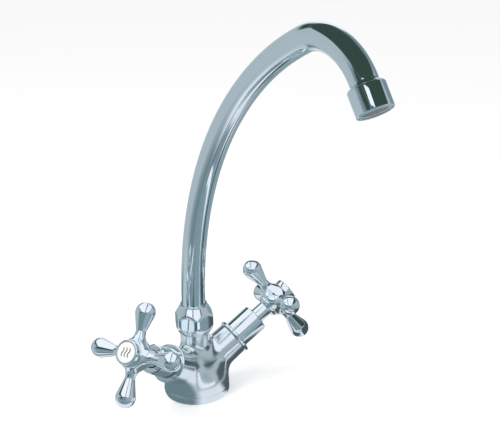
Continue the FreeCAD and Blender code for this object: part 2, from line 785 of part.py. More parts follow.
def make_handle_fittings(side):
    """The screw, the cap in the hub's face and the porcelain disc."""
    turn = handle_turn(side)
    on_valve(turned(f"{side}_fixing", [
        ("0", SCREW_END),
        ("screw_radius", SCREW_END),
        ("screw_radius", SCREW_SEAT),
        ("screw_head_radius", SCREW_SEAT),
        ("screw_head_radius", f"{SCREW_SEAT} + screw_head_height"),
        ("0", f"{SCREW_SEAT} + screw_head_height"),
    ]), side, "handle_screw", turn)
    on_valve(turned(f"{side}_cup", [
        ("0", f"{HUB_FRONT} - cap_spigot_height"),
        ("cap_spigot_radius", f"{HUB_FRONT} - cap_spigot_height"),
        ("cap_spigot_radius", HUB_FRONT),
        ("cap_radius", HUB_FRONT),
        ("cap_radius", f"{CAP_TOP} - cap_edge"),
        ("cap_radius - cap_edge", CAP_TOP, "cap_edge", 1),
        (INDEX_RADIUS, CAP_TOP),
        (INDEX_RADIUS, CAP_FLOOR),
        ("0", CAP_FLOOR),
    ]), side, "index_cap", turn)
    edge_height = f"{CAP_TOP} - index_recess"
    on_valve(turned(f"{side}_porcelain", [
        ("0", CAP_FLOOR),
        (INDEX_RADIUS, CAP_FLOOR),
        (INDEX_RADIUS, edge_height),
        ("0", f"{edge_height} + index_dome",
         f"({INDEX_RADIUS} * {INDEX_RADIUS} + index_dome * index_dome) / 2 / index_dome", 1),
    ]), side, "index_disc", turn)


# Pieces that turn with the spout.

def make_spout_tube():
    """A straight foot, a long gentle rise and a tight arch, swept with a hollow round section."""
    body = new_body("swan_tube")
    section = sketch_on(body, "tube_section", "XY_Plane", TUBE_BOTTOM)
    for number, radius in enumerate(("tube_radius", "tube_radius - tube_wall")):
        section.addGeometry(Part.Circle(FreeCAD.Vector(), FreeCAD.Vector(0, 0, 1), size(radius)), False)
        section.addConstraint(Sketcher.Constraint("Coincident", number, 3, -1, 1))
        place = section.addConstraint(Sketcher.Constraint("Radius", number, size(radius)))
        section.setExpression(f"Constraints[{place}]", bound(radius))
    spine = sketch_on(body, "tube_centre_line", "YZ_Plane")
    rise_end = ("-rise_radius * (1 - cos(rise_angle))", f"{NUT_TOP} + rise_radius * sin(rise_angle)")
    outline(spine, [
        ("0", TUBE_BOTTOM),
        ("0", NUT_TOP),
        (*rise_end, "rise_radius", 1),
        (f"-{OUTLET_REACH}", OUTLET_HEIGHT, "arch_radius", 1),
    ], closed=False)
    document.recompute()
    pipe = body.newObject("PartDesign::AdditivePipe", "tube_sweep")
    pipe.Profile = section
    pipe.Spine = (spine, [])
    document.recompute()
    body.setExpression("Placement", bound(SPOUT_PLACE))
    keep(body, "spout_tube")


def make_spout_foot():
    """The ferrule with its two grooves, and the seals that fill them."""
    floor = f"{FERRULE_RADIUS} - 2 * spout_seal_section - running_clearance"
    half = "(spout_seal_section + groove_margin)"
    spigot = "tube_radius - tube_wall"
    collar = f"{THREAD_RADIUS} - ferrule_collar_step"
    ferrule = turned("spout_foot", [
        ("ferrule_bore_radius", FERRULE_BOTTOM),
        (FERRULE_RADIUS, FERRULE_BOTTOM),
        (FERRULE_RADIUS, f"{LOWER_SEAL} - {half}"),
        (floor, f"{LOWER_SEAL} - {half}"),
        (floor, f"{LOWER_SEAL} + {half}"),
        (FERRULE_RADIUS, f"{LOWER_SEAL} + {half}"),
        (FERRULE_RADIUS, f"{UPPER_SEAL} - {half}"),
        (floor, f"{UPPER_SEAL} - {half}"),
        (floor, f"{UPPER_SEAL} + {half}"),
        (FERRULE_RADIUS, f"{UPPER_SEAL} + {half}"),
        (FERRULE_RADIUS, COLLAR_BOTTOM),
        (collar, COLLAR_BOTTOM),
        (collar, TUBE_BOTTOM),
        (spigot, TUBE_BOTTOM),
        (spigot, f"{TUBE_BOTTOM} + ferrule_spigot_height"),
        ("ferrule_bore_radius", f"{TUBE_BOTTOM} + ferrule_spigot_height"),
    ])
    ferrule.setExpression("Placement", bound(SPOUT_PLACE))
    keep(ferrule, "spout_ferrule")
    middle = f"{FERRULE_RADIUS} - spout_seal_section"
    seals = document.addObject("Part::Compound", "spout_rings")
    seals.Links = [
        round_ring("lower_spout_ring", middle, "spout_seal_section", raised(LOWER_SEAL)),
        round_ring("upper_spout_ring", middle, "spout_seal_section", raised(UPPER_SEAL)),
    ]
    document.recompute()
    keep(seals, "spout_seals")


def make_outlet():
    """The brazed socket, the chrome housing and the aerator inside it, along the outlet's own axis."""
    spigot = "tube_radius - tube_wall - running_clearance"
    flare = "housing_radius - flare_step"
    socket = turned("nozzle_socket", [
        ("socket_bore_radius", "-socket_spigot"),
        (spigot, "-socket_spigot"),
        (spigot, "0"),
        ("tube_radius", "0"),
        (flare, "flare_length", "flare_curve", -1),
        (flare, RIM_TOP),
        (SOCKET_RADIUS, RIM_TOP),
        (SOCKET_RADIUS, "socket_length"),
        ("socket_bore_radius", "socket_length"),
    ])
    housing = turned("nozzle_housing", [
        (HOUSING_BORE, RIM_TOP),
        ("housing_radius - housing_top_edge", RIM_TOP),
        ("housing_radius", f"{RIM_TOP} + housing_top_edge"),
        ("housing_radius", f"{HOUSING_END} - housing_rim_curve"),
        ("housing_radius - housing_rim_inset", HOUSING_END, "housing_rim_curve", 1),
        (LIP_RADIUS, HOUSING_END),
        (LIP_RADIUS, HOUSING_LIP),
        (HOUSING_BORE, HOUSING_LIP),
    ])
    seal = ring("nozzle_washer", "socket_bore_radius", SOCKET_RADIUS, WASHER_BOTTOM, PLATE_BOTTOM)
    insert = turned("flow_insert", [
        ("0", PLATE_BOTTOM),
        (SOCKET_RADIUS, PLATE_BOTTOM),
        (SOCKET_RADIUS, HOUSING_LIP),
        (SKIRT_RADIUS, HOUSING_LIP),
        (SKIRT_RADIUS, SKIRT_END),
        (SKIRT_BORE, SKIRT_END),
        (SKIRT_BORE, PLATE_TOP),
        ("0", PLATE_TOP),
    ])
    hole_rings(insert, "flow_hole", PLATE_RINGS, PLATE_BOTTOM, "insert_plate")
    screen = disc("mouth_mesh", SKIRT_BORE, SCREEN_BOTTOM, SKIRT_END)
    hole_rings(screen, "mesh_hole", SCREEN_RINGS, SCREEN_BOTTOM, "screen_thickness")
    for piece, label in (
        (socket, "outlet_socket"),
        (housing, "aerator_housing"),
        (seal, "aerator_seal"),
        (insert, "aerator_insert"),
        (screen, "aerator_screen"),
    ):
        piece.setExpression("Placement", bound(OUTLET_PLACE))
        keep(piece, label)


def check_and_write():
    """Every object must be sound, and each piece a valid solid, before any file is written."""
    document.recompute()
    for item in document.Objects:
        if "Invalid" in item.State or "Error" in item.State:
            raise RuntimeError(f"{item.Label} did not recompute: {item.State}")
    for piece in pieces:
        if piece.Shape.isNull() or not piece.Shape.isValid() or not piece.Shape.Solids:
            raise RuntimeError(f"{piece.Label} is not a sound solid")
    os.makedirs(PARTS_FOLDER, exist_ok=True)
    for piece in pieces:
        piece.Shape.exportStep(os.path.join(PARTS_FOLDER, piece.Label + ".step"))
        print(piece.Label, round(volume(piece.Shape), 1), len(piece.Shape.Solids))


make_mixer_body()
make_spout_nut()
make_rings()
make_spout_tube()
make_spout_foot()
make_outlet()
for side_name in SIDES:
    make_fixed_valve(side_name)
    make_moving_valve(side_name)
    make_handle(side_name)
    make_handle_fittings(side_name)
check_and_write()
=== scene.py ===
"""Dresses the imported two-handle kitchen tap: its finishes, its finer shapes and the studio around it.

Sizes below are in millimetres unless a name says otherwise; Blender objects are in metres.
+Z is up the column and the spout reaches towards -Y. The cold valve is on the +X side.
"""

import json
import math

import bpy
import numpy as np
from mathutils import Matrix, Vector


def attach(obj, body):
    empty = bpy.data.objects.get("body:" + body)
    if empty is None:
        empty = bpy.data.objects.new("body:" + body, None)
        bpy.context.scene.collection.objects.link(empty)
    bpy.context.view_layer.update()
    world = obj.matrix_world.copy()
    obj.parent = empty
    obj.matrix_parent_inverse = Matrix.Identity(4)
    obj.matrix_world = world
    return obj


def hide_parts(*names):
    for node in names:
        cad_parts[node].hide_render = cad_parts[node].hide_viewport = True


bl_info = {
    "name": "Swan-neck kitchen tap",
    "version": (1, 0, 0),
    "blender": (4, 5, 0),
    "location": "3D View > Sidebar > Tap",
    "description": "Builds the finishes and the finer shapes of a two-handle kitchen tap",
    "category": "Object",
}

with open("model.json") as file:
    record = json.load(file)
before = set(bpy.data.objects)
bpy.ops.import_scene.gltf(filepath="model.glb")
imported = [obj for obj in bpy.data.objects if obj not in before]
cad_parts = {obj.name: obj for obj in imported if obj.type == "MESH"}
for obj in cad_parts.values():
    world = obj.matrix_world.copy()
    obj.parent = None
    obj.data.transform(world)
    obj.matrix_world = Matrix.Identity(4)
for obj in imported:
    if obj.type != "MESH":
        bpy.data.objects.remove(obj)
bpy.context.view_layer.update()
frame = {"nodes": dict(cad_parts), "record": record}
MM = 0.001
SIDES = ("hot", "cold")


# Sizes and colours that a user would change.

def length(name, default, description):
    """A length property, given in millimetres."""
    return bpy.props.FloatProperty(name=name, description=description, default=default * MM, min=0.0,
                                   unit="LENGTH", precision=5)


def share(name, default, description):
    return bpy.props.FloatProperty(name=name, description=description, default=default, min=0.0, max=1.0,
                                   subtype="FACTOR")


def angle(name, degrees, description):
    return bpy.props.FloatProperty(name=name, description=description, default=math.radians(degrees),
                                   subtype="ANGLE")


def colour(name, default, description):
    return bpy.props.FloatVectorProperty(name=name, description=description, default=default, size=3,
                                         min=0.0, max=1.0, subtype="COLOR")


class TapStudio(bpy.types.PropertyGroup):
    """The camera and the light."""
    heading: angle("Camera heading", -41.677046, "Turn of the camera about the tap")
    height: angle("Camera height", 20.533613, "Angle of the camera above the worktop")
    distance: length("Camera distance", 925.0634, "From the camera to the point it turns about")
    aside: length("Aim to the side", 44.300635, "How far beside the column the camera aims")
    aim: length("Aim height", 144.391395, "Height at which the camera aims")
    roll: angle("Camera roll", -1.322929, "Tilt of the picture")
    lens: bpy.props.FloatProperty(name="Lens", description="Focal length in millimetres", default=90.193,
                                  subtype="DISTANCE_CAMERA", min=1.0)
    paper: colour("Paper", (0.86, 0.86, 0.86), "Colour of the floor")
    soft_light: bpy.props.FloatProperty(name="Soft light", description="Even light on matt surfaces",
                                        default=0.55, min=0.0)


class TapFinish(bpy.types.PropertyGroup):
    """Colours of the metals and mouldings."""
    chrome: colour("Chrome", (0.80, 0.88, 0.91), "Tint of the chrome plate")
    chrome_roughness: share("Chrome roughness", 0.055, "Blur of the chrome's reflections")
    satin_roughness: share("Satin roughness", 0.19, "Blur on the cast body, which is polished by hand")
    brass: colour("Brass", (0.78, 0.62, 0.32), "Bare turned brass")
    steel: colour("Steel", (0.62, 0.63, 0.64), "Drawn stainless steel")
    rubber: colour("Rubber", (0.03, 0.03, 0.03), "Seals")
    nylon: colour("Nylon", (0.82, 0.82, 0.80), "Slip ring and aerator insert")
    ceramic: colour("Ceramic", (0.88, 0.87, 0.84), "Lapped discs")
    porcelain: colour("Porcelain", (0.94, 0.935, 0.915), "Glazed index discs")
    paint: colour("Index paint", (0.085, 0.055, 0.035), "Fired mark on the index discs")


class TapBody(bpy.types.PropertyGroup):
    """The cast body and the union nut."""
    blend: length("Blend", 7.0, "How widely the arms run into the foot and column")
    grain: length("Mesh size", 0.8, "Cell size of the body's mesh")
    nut_edge: length("Nut edge", 0.9, "Rounding between the nut's flats and its crown")


class TapValve(bpy.types.PropertyGroup):
    """The chrome covers of the two valves."""
    edge: length("Edge", 0.3, "Rounding of turned edges")


class TapHandle(bpy.types.PropertyGroup):
    """The cross handles."""
    blend: length("Blend", 3.0, "How widely the arms run into the hub")
    grain: length("Mesh size", 0.7, "Cell size of the handle's mesh")
    mark: length("Mark width", 0.75, "Width of the strokes on the index discs")


class TapOutlet(bpy.types.PropertyGroup):
    """The aerator's woven screen."""
    wire: length("Wire", 0.26, "Diameter of the screen's wires")
    pitch: length("Pitch", 0.95, "Distance between wires")


GROUPS = {"tap_studio": TapStudio, "tap_finish": TapFinish, "tap_body": TapBody, "tap_valve": TapValve,
          "tap_handle": TapHandle, "tap_outlet": TapOutlet}


# Outlines. A point is (across, up), reached by a line, or (across, up, radius, turn), reached by an arc
# that bends to the left where turn is 1 and to the right where it is -1.

def arc_centre(start, end, radius, turn):
    chord = end - start
    half = np.hypot(*chord) / 2
    left = np.array([-chord[1], chord[0]]) / (2 * half)
    return (start + end) / 2 + left * turn * math.sqrt(max(radius ** 2 - half ** 2, 0.0))


def arc_points(start, end, radius, turn, step=math.radians(4)):
    """Points along an arc, without its start."""
    centre = arc_centre(start, end, radius, turn)
    first = math.atan2(*(start - centre)[::-1])
    sweep = (math.atan2(*(end - centre)[::-1]) - first) * turn % (2 * math.pi) * turn
    count = max(2, math.ceil(abs(sweep) / step))
    angles = first + sweep * np.arange(1, count + 1) / count
    return centre + radius * np.stack([np.cos(angles), np.sin(angles)], 1)


def sampled(points, closed=False):
    """An outline as plain points."""
    found = [np.array(points[0][:2], float)]
    steps = points[1:] + ([points[0]] if closed else [])
    for point in steps:
        end = np.array(point[:2], float)
        if len(point) == 4:
            found.extend(arc_points(found[-1], end, point[2], point[3]))
        else:
            found.append(end)
    return np.array(found[:-1] if closed else found)


def softened(line, radius, limit=math.radians(25)):
    """The closed line with its sharp corners rounded, as far as their neighbours leave room."""
    found = []
    for index, corner in enumerate(line):
        before, after = line[index - 1], line[(index + 1) % len(line)]
        arrive, leave = corner - before, after - corner
        near, far = np.hypot(*arrive), np.hypot(*leave)
        turn = math.acos(np.clip(arrive @ leave / max(near * far, 1e-12), -1, 1))
        if turn < limit:
            found.append(corner)
            continue
        back = min(radius * math.tan(turn / 2), 0.45 * near, 0.45 * far)
        start, end = corner - arrive / near * back, corner + leave / far * back
        for t in np.linspace(0, 1, 6):
            found.append((1 - t) ** 2 * start + 2 * t * (1 - t) * corner + t ** 2 * end)
    return np.array(found)


# Meshes.

def mesh_object(name, verts, faces, normals=None):
    """A smooth mesh object from points in millimetres."""
    data = bpy.data.meshes.new(name)
    data.from_pydata((np.asarray(verts) * MM).tolist(), [], [tuple(map(int, face)) for face in faces])
    data.validate()
    data.shade_smooth()
    if normals is None:
        data.set_sharp_from_angle(angle=math.radians(35))
    else:
        data.normals_split_custom_set_from_vertices(np.asarray(normals).tolist())
    return linked(name, data)


def linked(name, data):
    """A new object in the scene."""
    piece = bpy.data.objects.new(name, data)
    bpy.context.scene.collection.objects.link(piece)
    return piece


def placed(piece, matrix):
    """Moves a piece's mesh to its place, so that its object stays at the origin."""
    piece.data.transform(matrix)
    return piece


def bands(rows, closed=False, flip=False):
    """Faces between neighbouring rings of vertices. A ring may be one point."""
    faces = []
    for low, high in zip(rows, rows[1:] + rows[:1] if closed else rows[1:]):
        if low[0] == low[1] and high[0] == high[1]:
            continue
        for k in range(len(low)):
            m = (k + 1) % len(low)
            face = list(dict.fromkeys((low[k], low[m], high[m], high[k])))
            faces.append(face[::-1] if flip else face)
    return faces


def rings_of(sides, count, first=0):
    """The numbers of the vertices in each ring, where rings follow each other."""
    return [list(range(first + i * sides, first + (i + 1) * sides)) for i in range(count)]


def turned(name, outline, place, edge, sides=128):
    """A turned piece: a closed outline of (radius, height) points spun about its own axis."""
    angles = 2 * math.pi * np.arange(sides) / sides
    verts, rows = [], []
    for radius, height in softened(sampled(outline, True), edge):
        if radius < 1e-6:
            rows.append([len(verts)] * sides)
            verts.append((0.0, 0.0, height))
            continue
        rows.append(list(range(len(verts), len(verts) + sides)))
        verts.extend((radius * math.cos(a), radius * math.sin(a), height) for a in angles)
    return placed(mesh_object(name, verts, bands(rows, closed=True)), place)


def swept(name, centres, tangents, up, walls, sides=96):
    """A round tube along a line; walls are the radii of its outer and inner wall."""
    side = np.cross(tangents, up)
    side /= np.linalg.norm(side, axis=1, keepdims=True)
    over = np.cross(side, tangents)
    angles = 2 * math.pi * np.arange(sides) / sides
    around = side[:, None] * np.cos(angles)[None, :, None] + over[:, None] * np.sin(angles)[None, :, None]
    count = len(centres)
    verts = [(centres[:, None] + radius * around).reshape(-1, 3) for radius in walls]
    normals = [around.reshape(-1, 3), -around.reshape(-1, 3)]
    rows = rings_of(sides, 2 * count)
    faces = bands(rows[:count], flip=True) + bands(rows[count:])
    faces += bands([rows[0], rows[count]]) + bands([rows[count - 1], rows[-1]], flip=True)
    return mesh_object(name, np.concatenate(verts), faces, np.concatenate(normals))


# Solids as distance fields: negative inside, in millimetres.

def outline_field(outline):
    """The signed distance to a spun outline that starts and ends on its axis."""
    pieces = []
    start = np.array(outline[0][:2], float)
    for point in outline[1:]:
        end = np.array(point[:2], float)
        if len(point) == 4:
            centre = arc_centre(start, end, point[2], point[3])
            middle = (start + end) / 2 - centre
            reach = np.hypot(*middle)
            pieces.append(("arc", start, end, centre, point[2], point[3], middle / max(reach, 1e-9),
                           reach / point[2]))
        else:
            pieces.append(("line", start, end))
        start = end
    polygon = sampled(outline)

    def field(across, up):
        best = np.full(across.shape, np.inf)
        side = np.zeros(across.shape)
        for piece in pieces:
            if piece[0] == "line":
                start, end = piece[1:]
                run = end - start
                size = run @ run
                t = np.clip(((across - start[0]) * run[0] + (up - start[1]) * run[1]) / size, 0, 1)
                dx, dy = across - start[0] - t * run[0], up - start[1] - t * run[1]
                distance = np.hypot(dx, dy)
                sign = (across - start[0]) * run[1] - (up - start[1]) * run[0]
            else:
                _, start, end, centre, radius, turn, middle, spread = piece
                dx, dy = across - centre[0], up - centre[1]
                reach = np.hypot(dx, dy)
                within = dx * middle[0] + dy * middle[1] >= spread * reach
                ends = np.minimum(np.hypot(across - start[0], up - start[1]),
                                  np.hypot(across - end[0], up - end[1]))
                distance = np.where(within, np.abs(reach - radius), ends)
                sign = (reach - radius) * turn
            nearer = distance < best
            best = np.where(nearer, distance, best)
            side = np.where(nearer, sign, side)
        inside = np.zeros(across.shape, bool)
        for (x0, y0), (x1, y1) in zip(polygon, np.roll(polygon, -1, 0)):
            if y0 == y1:
                continue
            crosses = (y0 > up) != (y1 > up)
            inside ^= crosses & (across < x0 + (up - y0) * (x1 - x0) / (y1 - y0))
        far = np.where(inside, -best, best)
        return np.where(best < 0.02, np.where(side < 0, -best, best), far)

    return field


def cylinder_field(radius, bottom, top):
    def field(across, up):
        return np.maximum(across - radius, np.maximum(bottom - up, up - top))
    return field


def spun(field, place):
    """A spun field laid along a placement's Z axis."""
    inverse = np.array(place.inverted())
    turn, shift = inverse[:3, :3], inverse[:3, 3]

    def solid(points):
        local = points @ turn.T + shift
        return field(np.hypot(local[:, 0], local[:, 1]), local[:, 2])
    return solid


def joined(first, second, blend):
    """The union of two distances, run together over a width."""
    overlap = np.maximum(blend - np.abs(first - second), 0) / blend
    return np.minimum(first, second) - overlap * overlap * blend / 4


def kept(first, second, blend):
    """The intersection of two distances, with its edge eased."""
    return -joined(-first, -second, blend)


def gradient(solid, points, step=1e-3):
    parts = []
    for axis in range(3):
        shift = np.zeros(3)
        shift[axis] = step
        parts.append(solid(points + shift) - solid(points - shift))
    return np.stack(parts, 1) / (2 * step)


def field_mesh(name, solid, low, high, cell):
    """Meshes a solid: one vertex per crossed cell, drawn on to the surface, with its normals."""
    axes = [np.arange(a - 1.5 * cell, b + 1.5 * cell + cell, cell) for a, b in zip(low, high)]
    shape = tuple(len(axis) for axis in axes)
    values = np.empty(shape)
    grid = np.stack(np.meshgrid(axes[1], axes[2], indexing="ij"), -1).reshape(-1, 2)
    for index, x in enumerate(axes[0]):
        layer = np.column_stack([np.full(len(grid), x), grid])
        values[index] = solid(layer).reshape(shape[1:])
    inside = values < 0
    corners = [(i, j, k) for i in (0, 1) for j in (0, 1) for k in (0, 1)]
    cells = tuple(size - 1 for size in shape)

    def corner(array, offset):
        return array[tuple(slice(o, o + n) for o, n in zip(offset, cells))]

    filled = sum(corner(inside, c).astype(int) for c in corners)
    crossed = (filled > 0) & (filled < 8)
    number = np.full(cells, -1)
    number[crossed] = np.arange(crossed.sum())
    where = np.argwhere(crossed)
    total, count = np.zeros((len(where), 3)), np.zeros(len(where))
    for a in corners:
        for axis in range(3):
            if a[axis]:
                continue
            b = tuple(v + (i == axis) for i, v in enumerate(a))
            va = values[tuple((where + a).T)]
            vb = values[tuple((where + b).T)]
            cut = (va < 0) != (vb < 0)
            t = np.where(cut, va / np.where(cut, va - vb, 1), 0)
            point = np.tile(np.array(a, float), (len(where), 1))
            point[:, axis] += t
            total += point * cut[:, None]
            count += cut
    verts = (where + total / count[:, None]) * cell + [axis[0] for axis in axes]
    for _ in range(4):
        slope = gradient(solid, verts)
        size = np.maximum((slope ** 2).sum(1, keepdims=True), 0.25)
        verts = verts - np.clip(solid(verts)[:, None] * slope / size, -cell / 3, cell / 3)
    normals = gradient(solid, verts)
    normals /= np.maximum(np.linalg.norm(normals, axis=1, keepdims=True), 1e-9)
    faces = []
    for axis in range(3):
        u, v = [(1, 2), (2, 0), (0, 1)][axis]
        first = inside[tuple(slice(0, -1) if i == axis else slice(1, -1) for i in range(3))]
        second = inside[tuple(slice(1, None) if i == axis else slice(1, -1) for i in range(3))]
        edges = np.argwhere(first != second)
        flip = first[first != second]
        quads = []
        for du, dv in ((0, 0), (1, 0), (1, 1), (0, 1)):
            place = edges.copy()
            place[:, u] += du
            place[:, v] += dv
            quads.append(number[tuple(place.T)])
        quads = np.stack(quads, 1)
        faces.append(np.where(flip[:, None], quads, quads[:, ::-1]))
    return mesh_object(name, verts, np.concatenate(faces), normals)


# Placements.

ARM_TILT = math.radians(32)
ARM_SWEEP = math.radians(14)
ARM_ORIGIN = 16.8
HANDLE_TURN = {"hot": math.radians(4), "cold": math.radians(-15.5)}


def arm_heading(side):
    return -ARM_SWEEP if side == "cold" else math.pi + ARM_SWEEP


def valve_place(side, turn=0.0, scale=1.0):
    """The matrix that lays a valve piece's Z axis along its arm."""
    return (Matrix.Translation((0, 0, ARM_ORIGIN * scale)) @ Matrix.Rotation(arm_heading(side), 4, "Z")
            @ Matrix.Rotation(math.pi / 2 - ARM_TILT, 4, "Y") @ Matrix.Rotation(turn, 4, "Z"))


def valve_metres(side, turn=0.0):
    """The same placement for a piece that is already in metres."""
    return valve_place(side, turn, MM)


# Materials.

def feed(tree, socket, value):
    """Fills an input with a value or with another node's output."""
    if isinstance(value, bpy.types.NodeSocket):
        tree.links.new(value, socket)
    else:
        socket.default_value = value


def node(tree, kind, settings=(), **inputs):
    """Adds a shader node. An input goes by its name, or by i and its number."""
    made = tree.nodes.new("ShaderNode" + kind)
    for name, value in dict(settings).items():
        setattr(made, name, value)
    for name, value in inputs.items():
        numbered = name[0] == "i" and name[1:].isdigit()
        feed(tree, made.inputs[int(name[1:]) if numbered else name], value)
    return made


def maths(tree, operation, *values):
    made = node(tree, "Math", {"operation": operation})
    for socket, value in zip(made.inputs, values):
        feed(tree, socket, value)
    return made.outputs[0]


def mapped(tree, value, low, high, to_low=0.0, to_high=1.0):
    """A value carried from one range to another, with eased ends."""
    made = node(tree, "MapRange", {"interpolation_type": "SMOOTHSTEP"}, i0=value, i1=low, i2=high, i3=to_low,
                i4=to_high)
    return made.outputs[0]


def mixed(tree, factor, first, second):
    """A colour between two others."""
    return node(tree, "Mix", {"data_type": "RGBA"}, i0=factor, i6=first, i7=second).outputs[2]


def first_node(tree, kind):
    return next(n for n in tree.nodes if n.type == kind)


def new_material(name):
    material = bpy.data.materials.new(name)
    material.use_nodes = True
    tree = material.node_tree
    return material, tree, first_node(tree, "BSDF_PRINCIPLED")


def rgba(value, factor=1.0):
    return (*[c * factor for c in value], 1.0)


def coordinates(tree):
    """Places on the piece, which move with it."""
    return node(tree, "TexCoord").outputs["Object"]


def noise(tree, where, scale, detail, roughness=0.5):
    return node(tree, "TexNoise", Vector=where, Scale=scale, Detail=detail, Roughness=roughness).outputs[0]


def bumped(tree, shader, height, strength, distance):
    bump = node(tree, "Bump", Strength=strength, Distance=distance, Height=height)
    tree.links.new(bump.outputs[0], shader.inputs["Normal"])


def grained(name, tint, dark, grain, roughness, gloss):
    """A new material whose tone and gloss wander together. Gives its tree, shader, places and grain."""
    material, tree, shader = new_material(name)
    where = coordinates(tree)
    wander = noise(tree, where, *grain)
    tree.links.new(mixed(tree, wander, rgba(tint, dark), rgba(tint)), shader.inputs["Base Color"])
    low, high, smoothest, roughest = gloss
    blur = mapped(tree, wander, low, high, roughness * smoothest, roughness * roughest)
    tree.links.new(blur, shader.inputs["Roughness"])
    return tree, shader, where, wander


def chrome_material(name, finish, roughness, waviness, depth):
    """Chrome plate: a faint polish haze in its gloss and the plating's slight waviness."""
    tree, shader, where, _ = grained(name, finish.chrome, 0.965, (55.0, 4.0, 0.6), roughness,
                                     (0.3, 0.75, 0.8, 1.25))
    shader.inputs["Metallic"].default_value = 1.0
    bumped(tree, shader, noise(tree, where, waviness, 1.0), depth, 0.00012)


def brushed_material(name, tint, roughness, scale):
    """Turned or drawn bare metal."""
    tree, shader, _, streaks = grained(name, tint, 0.82, (scale, 6.0, 0.7), roughness, (0.3, 0.7, 0.75, 1.3))
    shader.inputs["Metallic"].default_value = 1.0
    bumped(tree, shader, streaks, 0.2, 0.00005)


def moulded_material(name, tint, roughness, coat=0.0, grain=900.0):
    """Rubber, plastic or ceramic: an even body with a fine surface."""
    tree, shader, _, specks = grained(name, tint, 0.9, (grain, 3.0), roughness, (0.3, 0.7, 0.85, 1.15))
    shader.inputs["Coat Weight"].default_value = coat
    shader.inputs["Coat Roughness"].default_value = 0.06
    bumped(tree, shader, specks, 0.15, 0.00004)


def make_materials(finish):
    """Every finish, made once."""
    if "chrome_plate" in bpy.data.materials:
        return bpy.data.materials
    chrome_material("chrome_plate", finish, finish.chrome_roughness, 26.0, 0.03)
    chrome_material("chrome_satin", finish, finish.satin_roughness, 34.0, 0.2)
    brushed_material("bare_brass", finish.brass, 0.28, 420.0)
    brushed_material("drawn_steel", finish.steel, 0.3, 700.0)
    moulded_material("black_rubber", finish.rubber, 0.55)
    moulded_material("white_nylon", finish.nylon, 0.42)
    moulded_material("lapped_ceramic", finish.ceramic, 0.2, 0.3)
    moulded_material("glazed_porcelain", finish.porcelain, 0.32, 1.0, 300.0)
    moulded_material("fired_paint", finish.paint, 0.35, 0.8, 600.0)
    return bpy.data.materials


SLOT_MATERIALS = {"chrome": "chrome_plate", "brass": "bare_brass", "rubber": "black_rubber",
                  "white_plastic": "white_nylon", "ceramic": "lapped_ceramic",
                  "porcelain": "glazed_porcelain", "steel": "drawn_steel"}


def finished(piece, material, slot, body, *nodes):
    """Gives a new piece its finish and its body, and hides the CAD nodes it stands for."""
    materials = make_materials(bpy.context.scene.tap_finish)
    piece.data.materials.clear()
    piece.data.materials.append(materials[material])
    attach(piece, body)
    if nodes:
        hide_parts(*nodes)
    return piece


# Operators.

class TAP_OT_stage(bpy.types.Operator):
    """Sets up the camera, the paper floor, the room and the lamps"""
    bl_idname = "tap.stage"
    bl_label = "Stage"

    def execute(self, context):
        studio = context.scene.tap_studio
        context.scene.view_settings.view_transform = "Standard"
        make_camera(context.scene, studio)
        make_floor(studio)
        make_room(context.scene, studio)
        make_lamps(studio)
        make_painted_reflection_cards(studio)
        return {"FINISHED"}


def view_axes(studio):
    """The camera's backward, rightward and upward directions before its roll."""
    back = Vector((math.sin(studio.heading) * math.cos(studio.height),
                   -math.cos(studio.heading) * math.cos(studio.height), math.sin(studio.height)))
    right = Vector((math.cos(studio.heading), math.sin(studio.heading), 0))
    return back, right, back.cross(right)


def make_camera(scene, studio):
    back, right, up = view_axes(studio)
    place = Vector((0, 0, studio.aim)) + right * studio.aside + back * studio.distance
    across = right * math.cos(studio.roll) + up * math.sin(studio.roll)
    above = up * math.cos(studio.roll) - right * math.sin(studio.roll)
    data = bpy.data.cameras.new("view")
    data.sensor_fit = "HORIZONTAL"
    data.sensor_width = 36.0
    data.lens = studio.lens
    data.clip_end = 50.0
    camera = linked("view", data)
    camera.matrix_world = Matrix.Translation(place) @ Matrix((across, above, back)).transposed().to_4x4()
    scene.camera = camera


def seen_directly(tree):
    """1 for rays from the camera, 0 for others."""
    return node(tree, "LightPath").outputs["Is Camera Ray"]


def seen_in_gloss(tree):
    """1 for rays that a shiny or clear surface sends out."""
    path = node(tree, "LightPath")
    return maths(tree, "MAXIMUM", path.outputs["Is Glossy Ray"], path.outputs["Is Transmission Ray"])


PAPER_HALF_WIDTH = 6.0
PAPER_DEPTH = 0.0003
PAPER_LIFT = 0.45


def make_floor(studio):
    """White paper: its own colour under the light, raised to white, so that the shadow stays. Shiny surfaces
    see a painted reflection in its place, drawn in light and dark patches.
    """
    corners = [(x * PAPER_HALF_WIDTH, y * PAPER_HALF_WIDTH, -PAPER_DEPTH)
               for x, y in ((-1, -1), (1, -1), (1, 1), (-1, 1))]
    data = bpy.data.meshes.new("floor")
    data.from_pydata(corners, [], [(0, 1, 2, 3)])
    floor = linked("floor", data)
    material, tree, shader = new_material("paper")
    shader.inputs["Base Color"].default_value = rgba(studio.paper)
    shader.inputs["Roughness"].default_value = 1.0
    shader.inputs["Specular IOR Level"].default_value = 0.0
    lift = node(tree, "Emission", Color=(1, 1, 1, 1),
                Strength=maths(tree, "MULTIPLY", seen_directly(tree), PAPER_LIFT))
    lit = node(tree, "AddShader")
    tree.links.new(shader.outputs[0], lit.inputs[0])
    tree.links.new(lift.outputs[0], lit.inputs[1])
    where = node(tree, "NewGeometry").outputs["Position"]
    # Painted reflection: what shiny surfaces see on the paper is drawn here, not the paper's own colour.
    painted_reflection = node(tree, "Emission", Color=painted_floor_reflection(tree, studio, where), Strength=1.0)
    choose = node(tree, "MixShader", Fac=seen_in_gloss(tree))
    tree.links.new(lit.outputs[0], choose.inputs[1])
    tree.links.new(painted_reflection.outputs[0], choose.inputs[2])
    tree.links.new(choose.outputs[0], first_node(tree, "OUTPUT_MATERIAL").inputs["Surface"])
    material.cycles.emission_sampling = "NONE"
    data.materials.append(material)


# What shiny surfaces see is drawn, so that the chrome has the light and dark of a photographer's room.
# Headings are in degrees from the camera, positive towards its right.

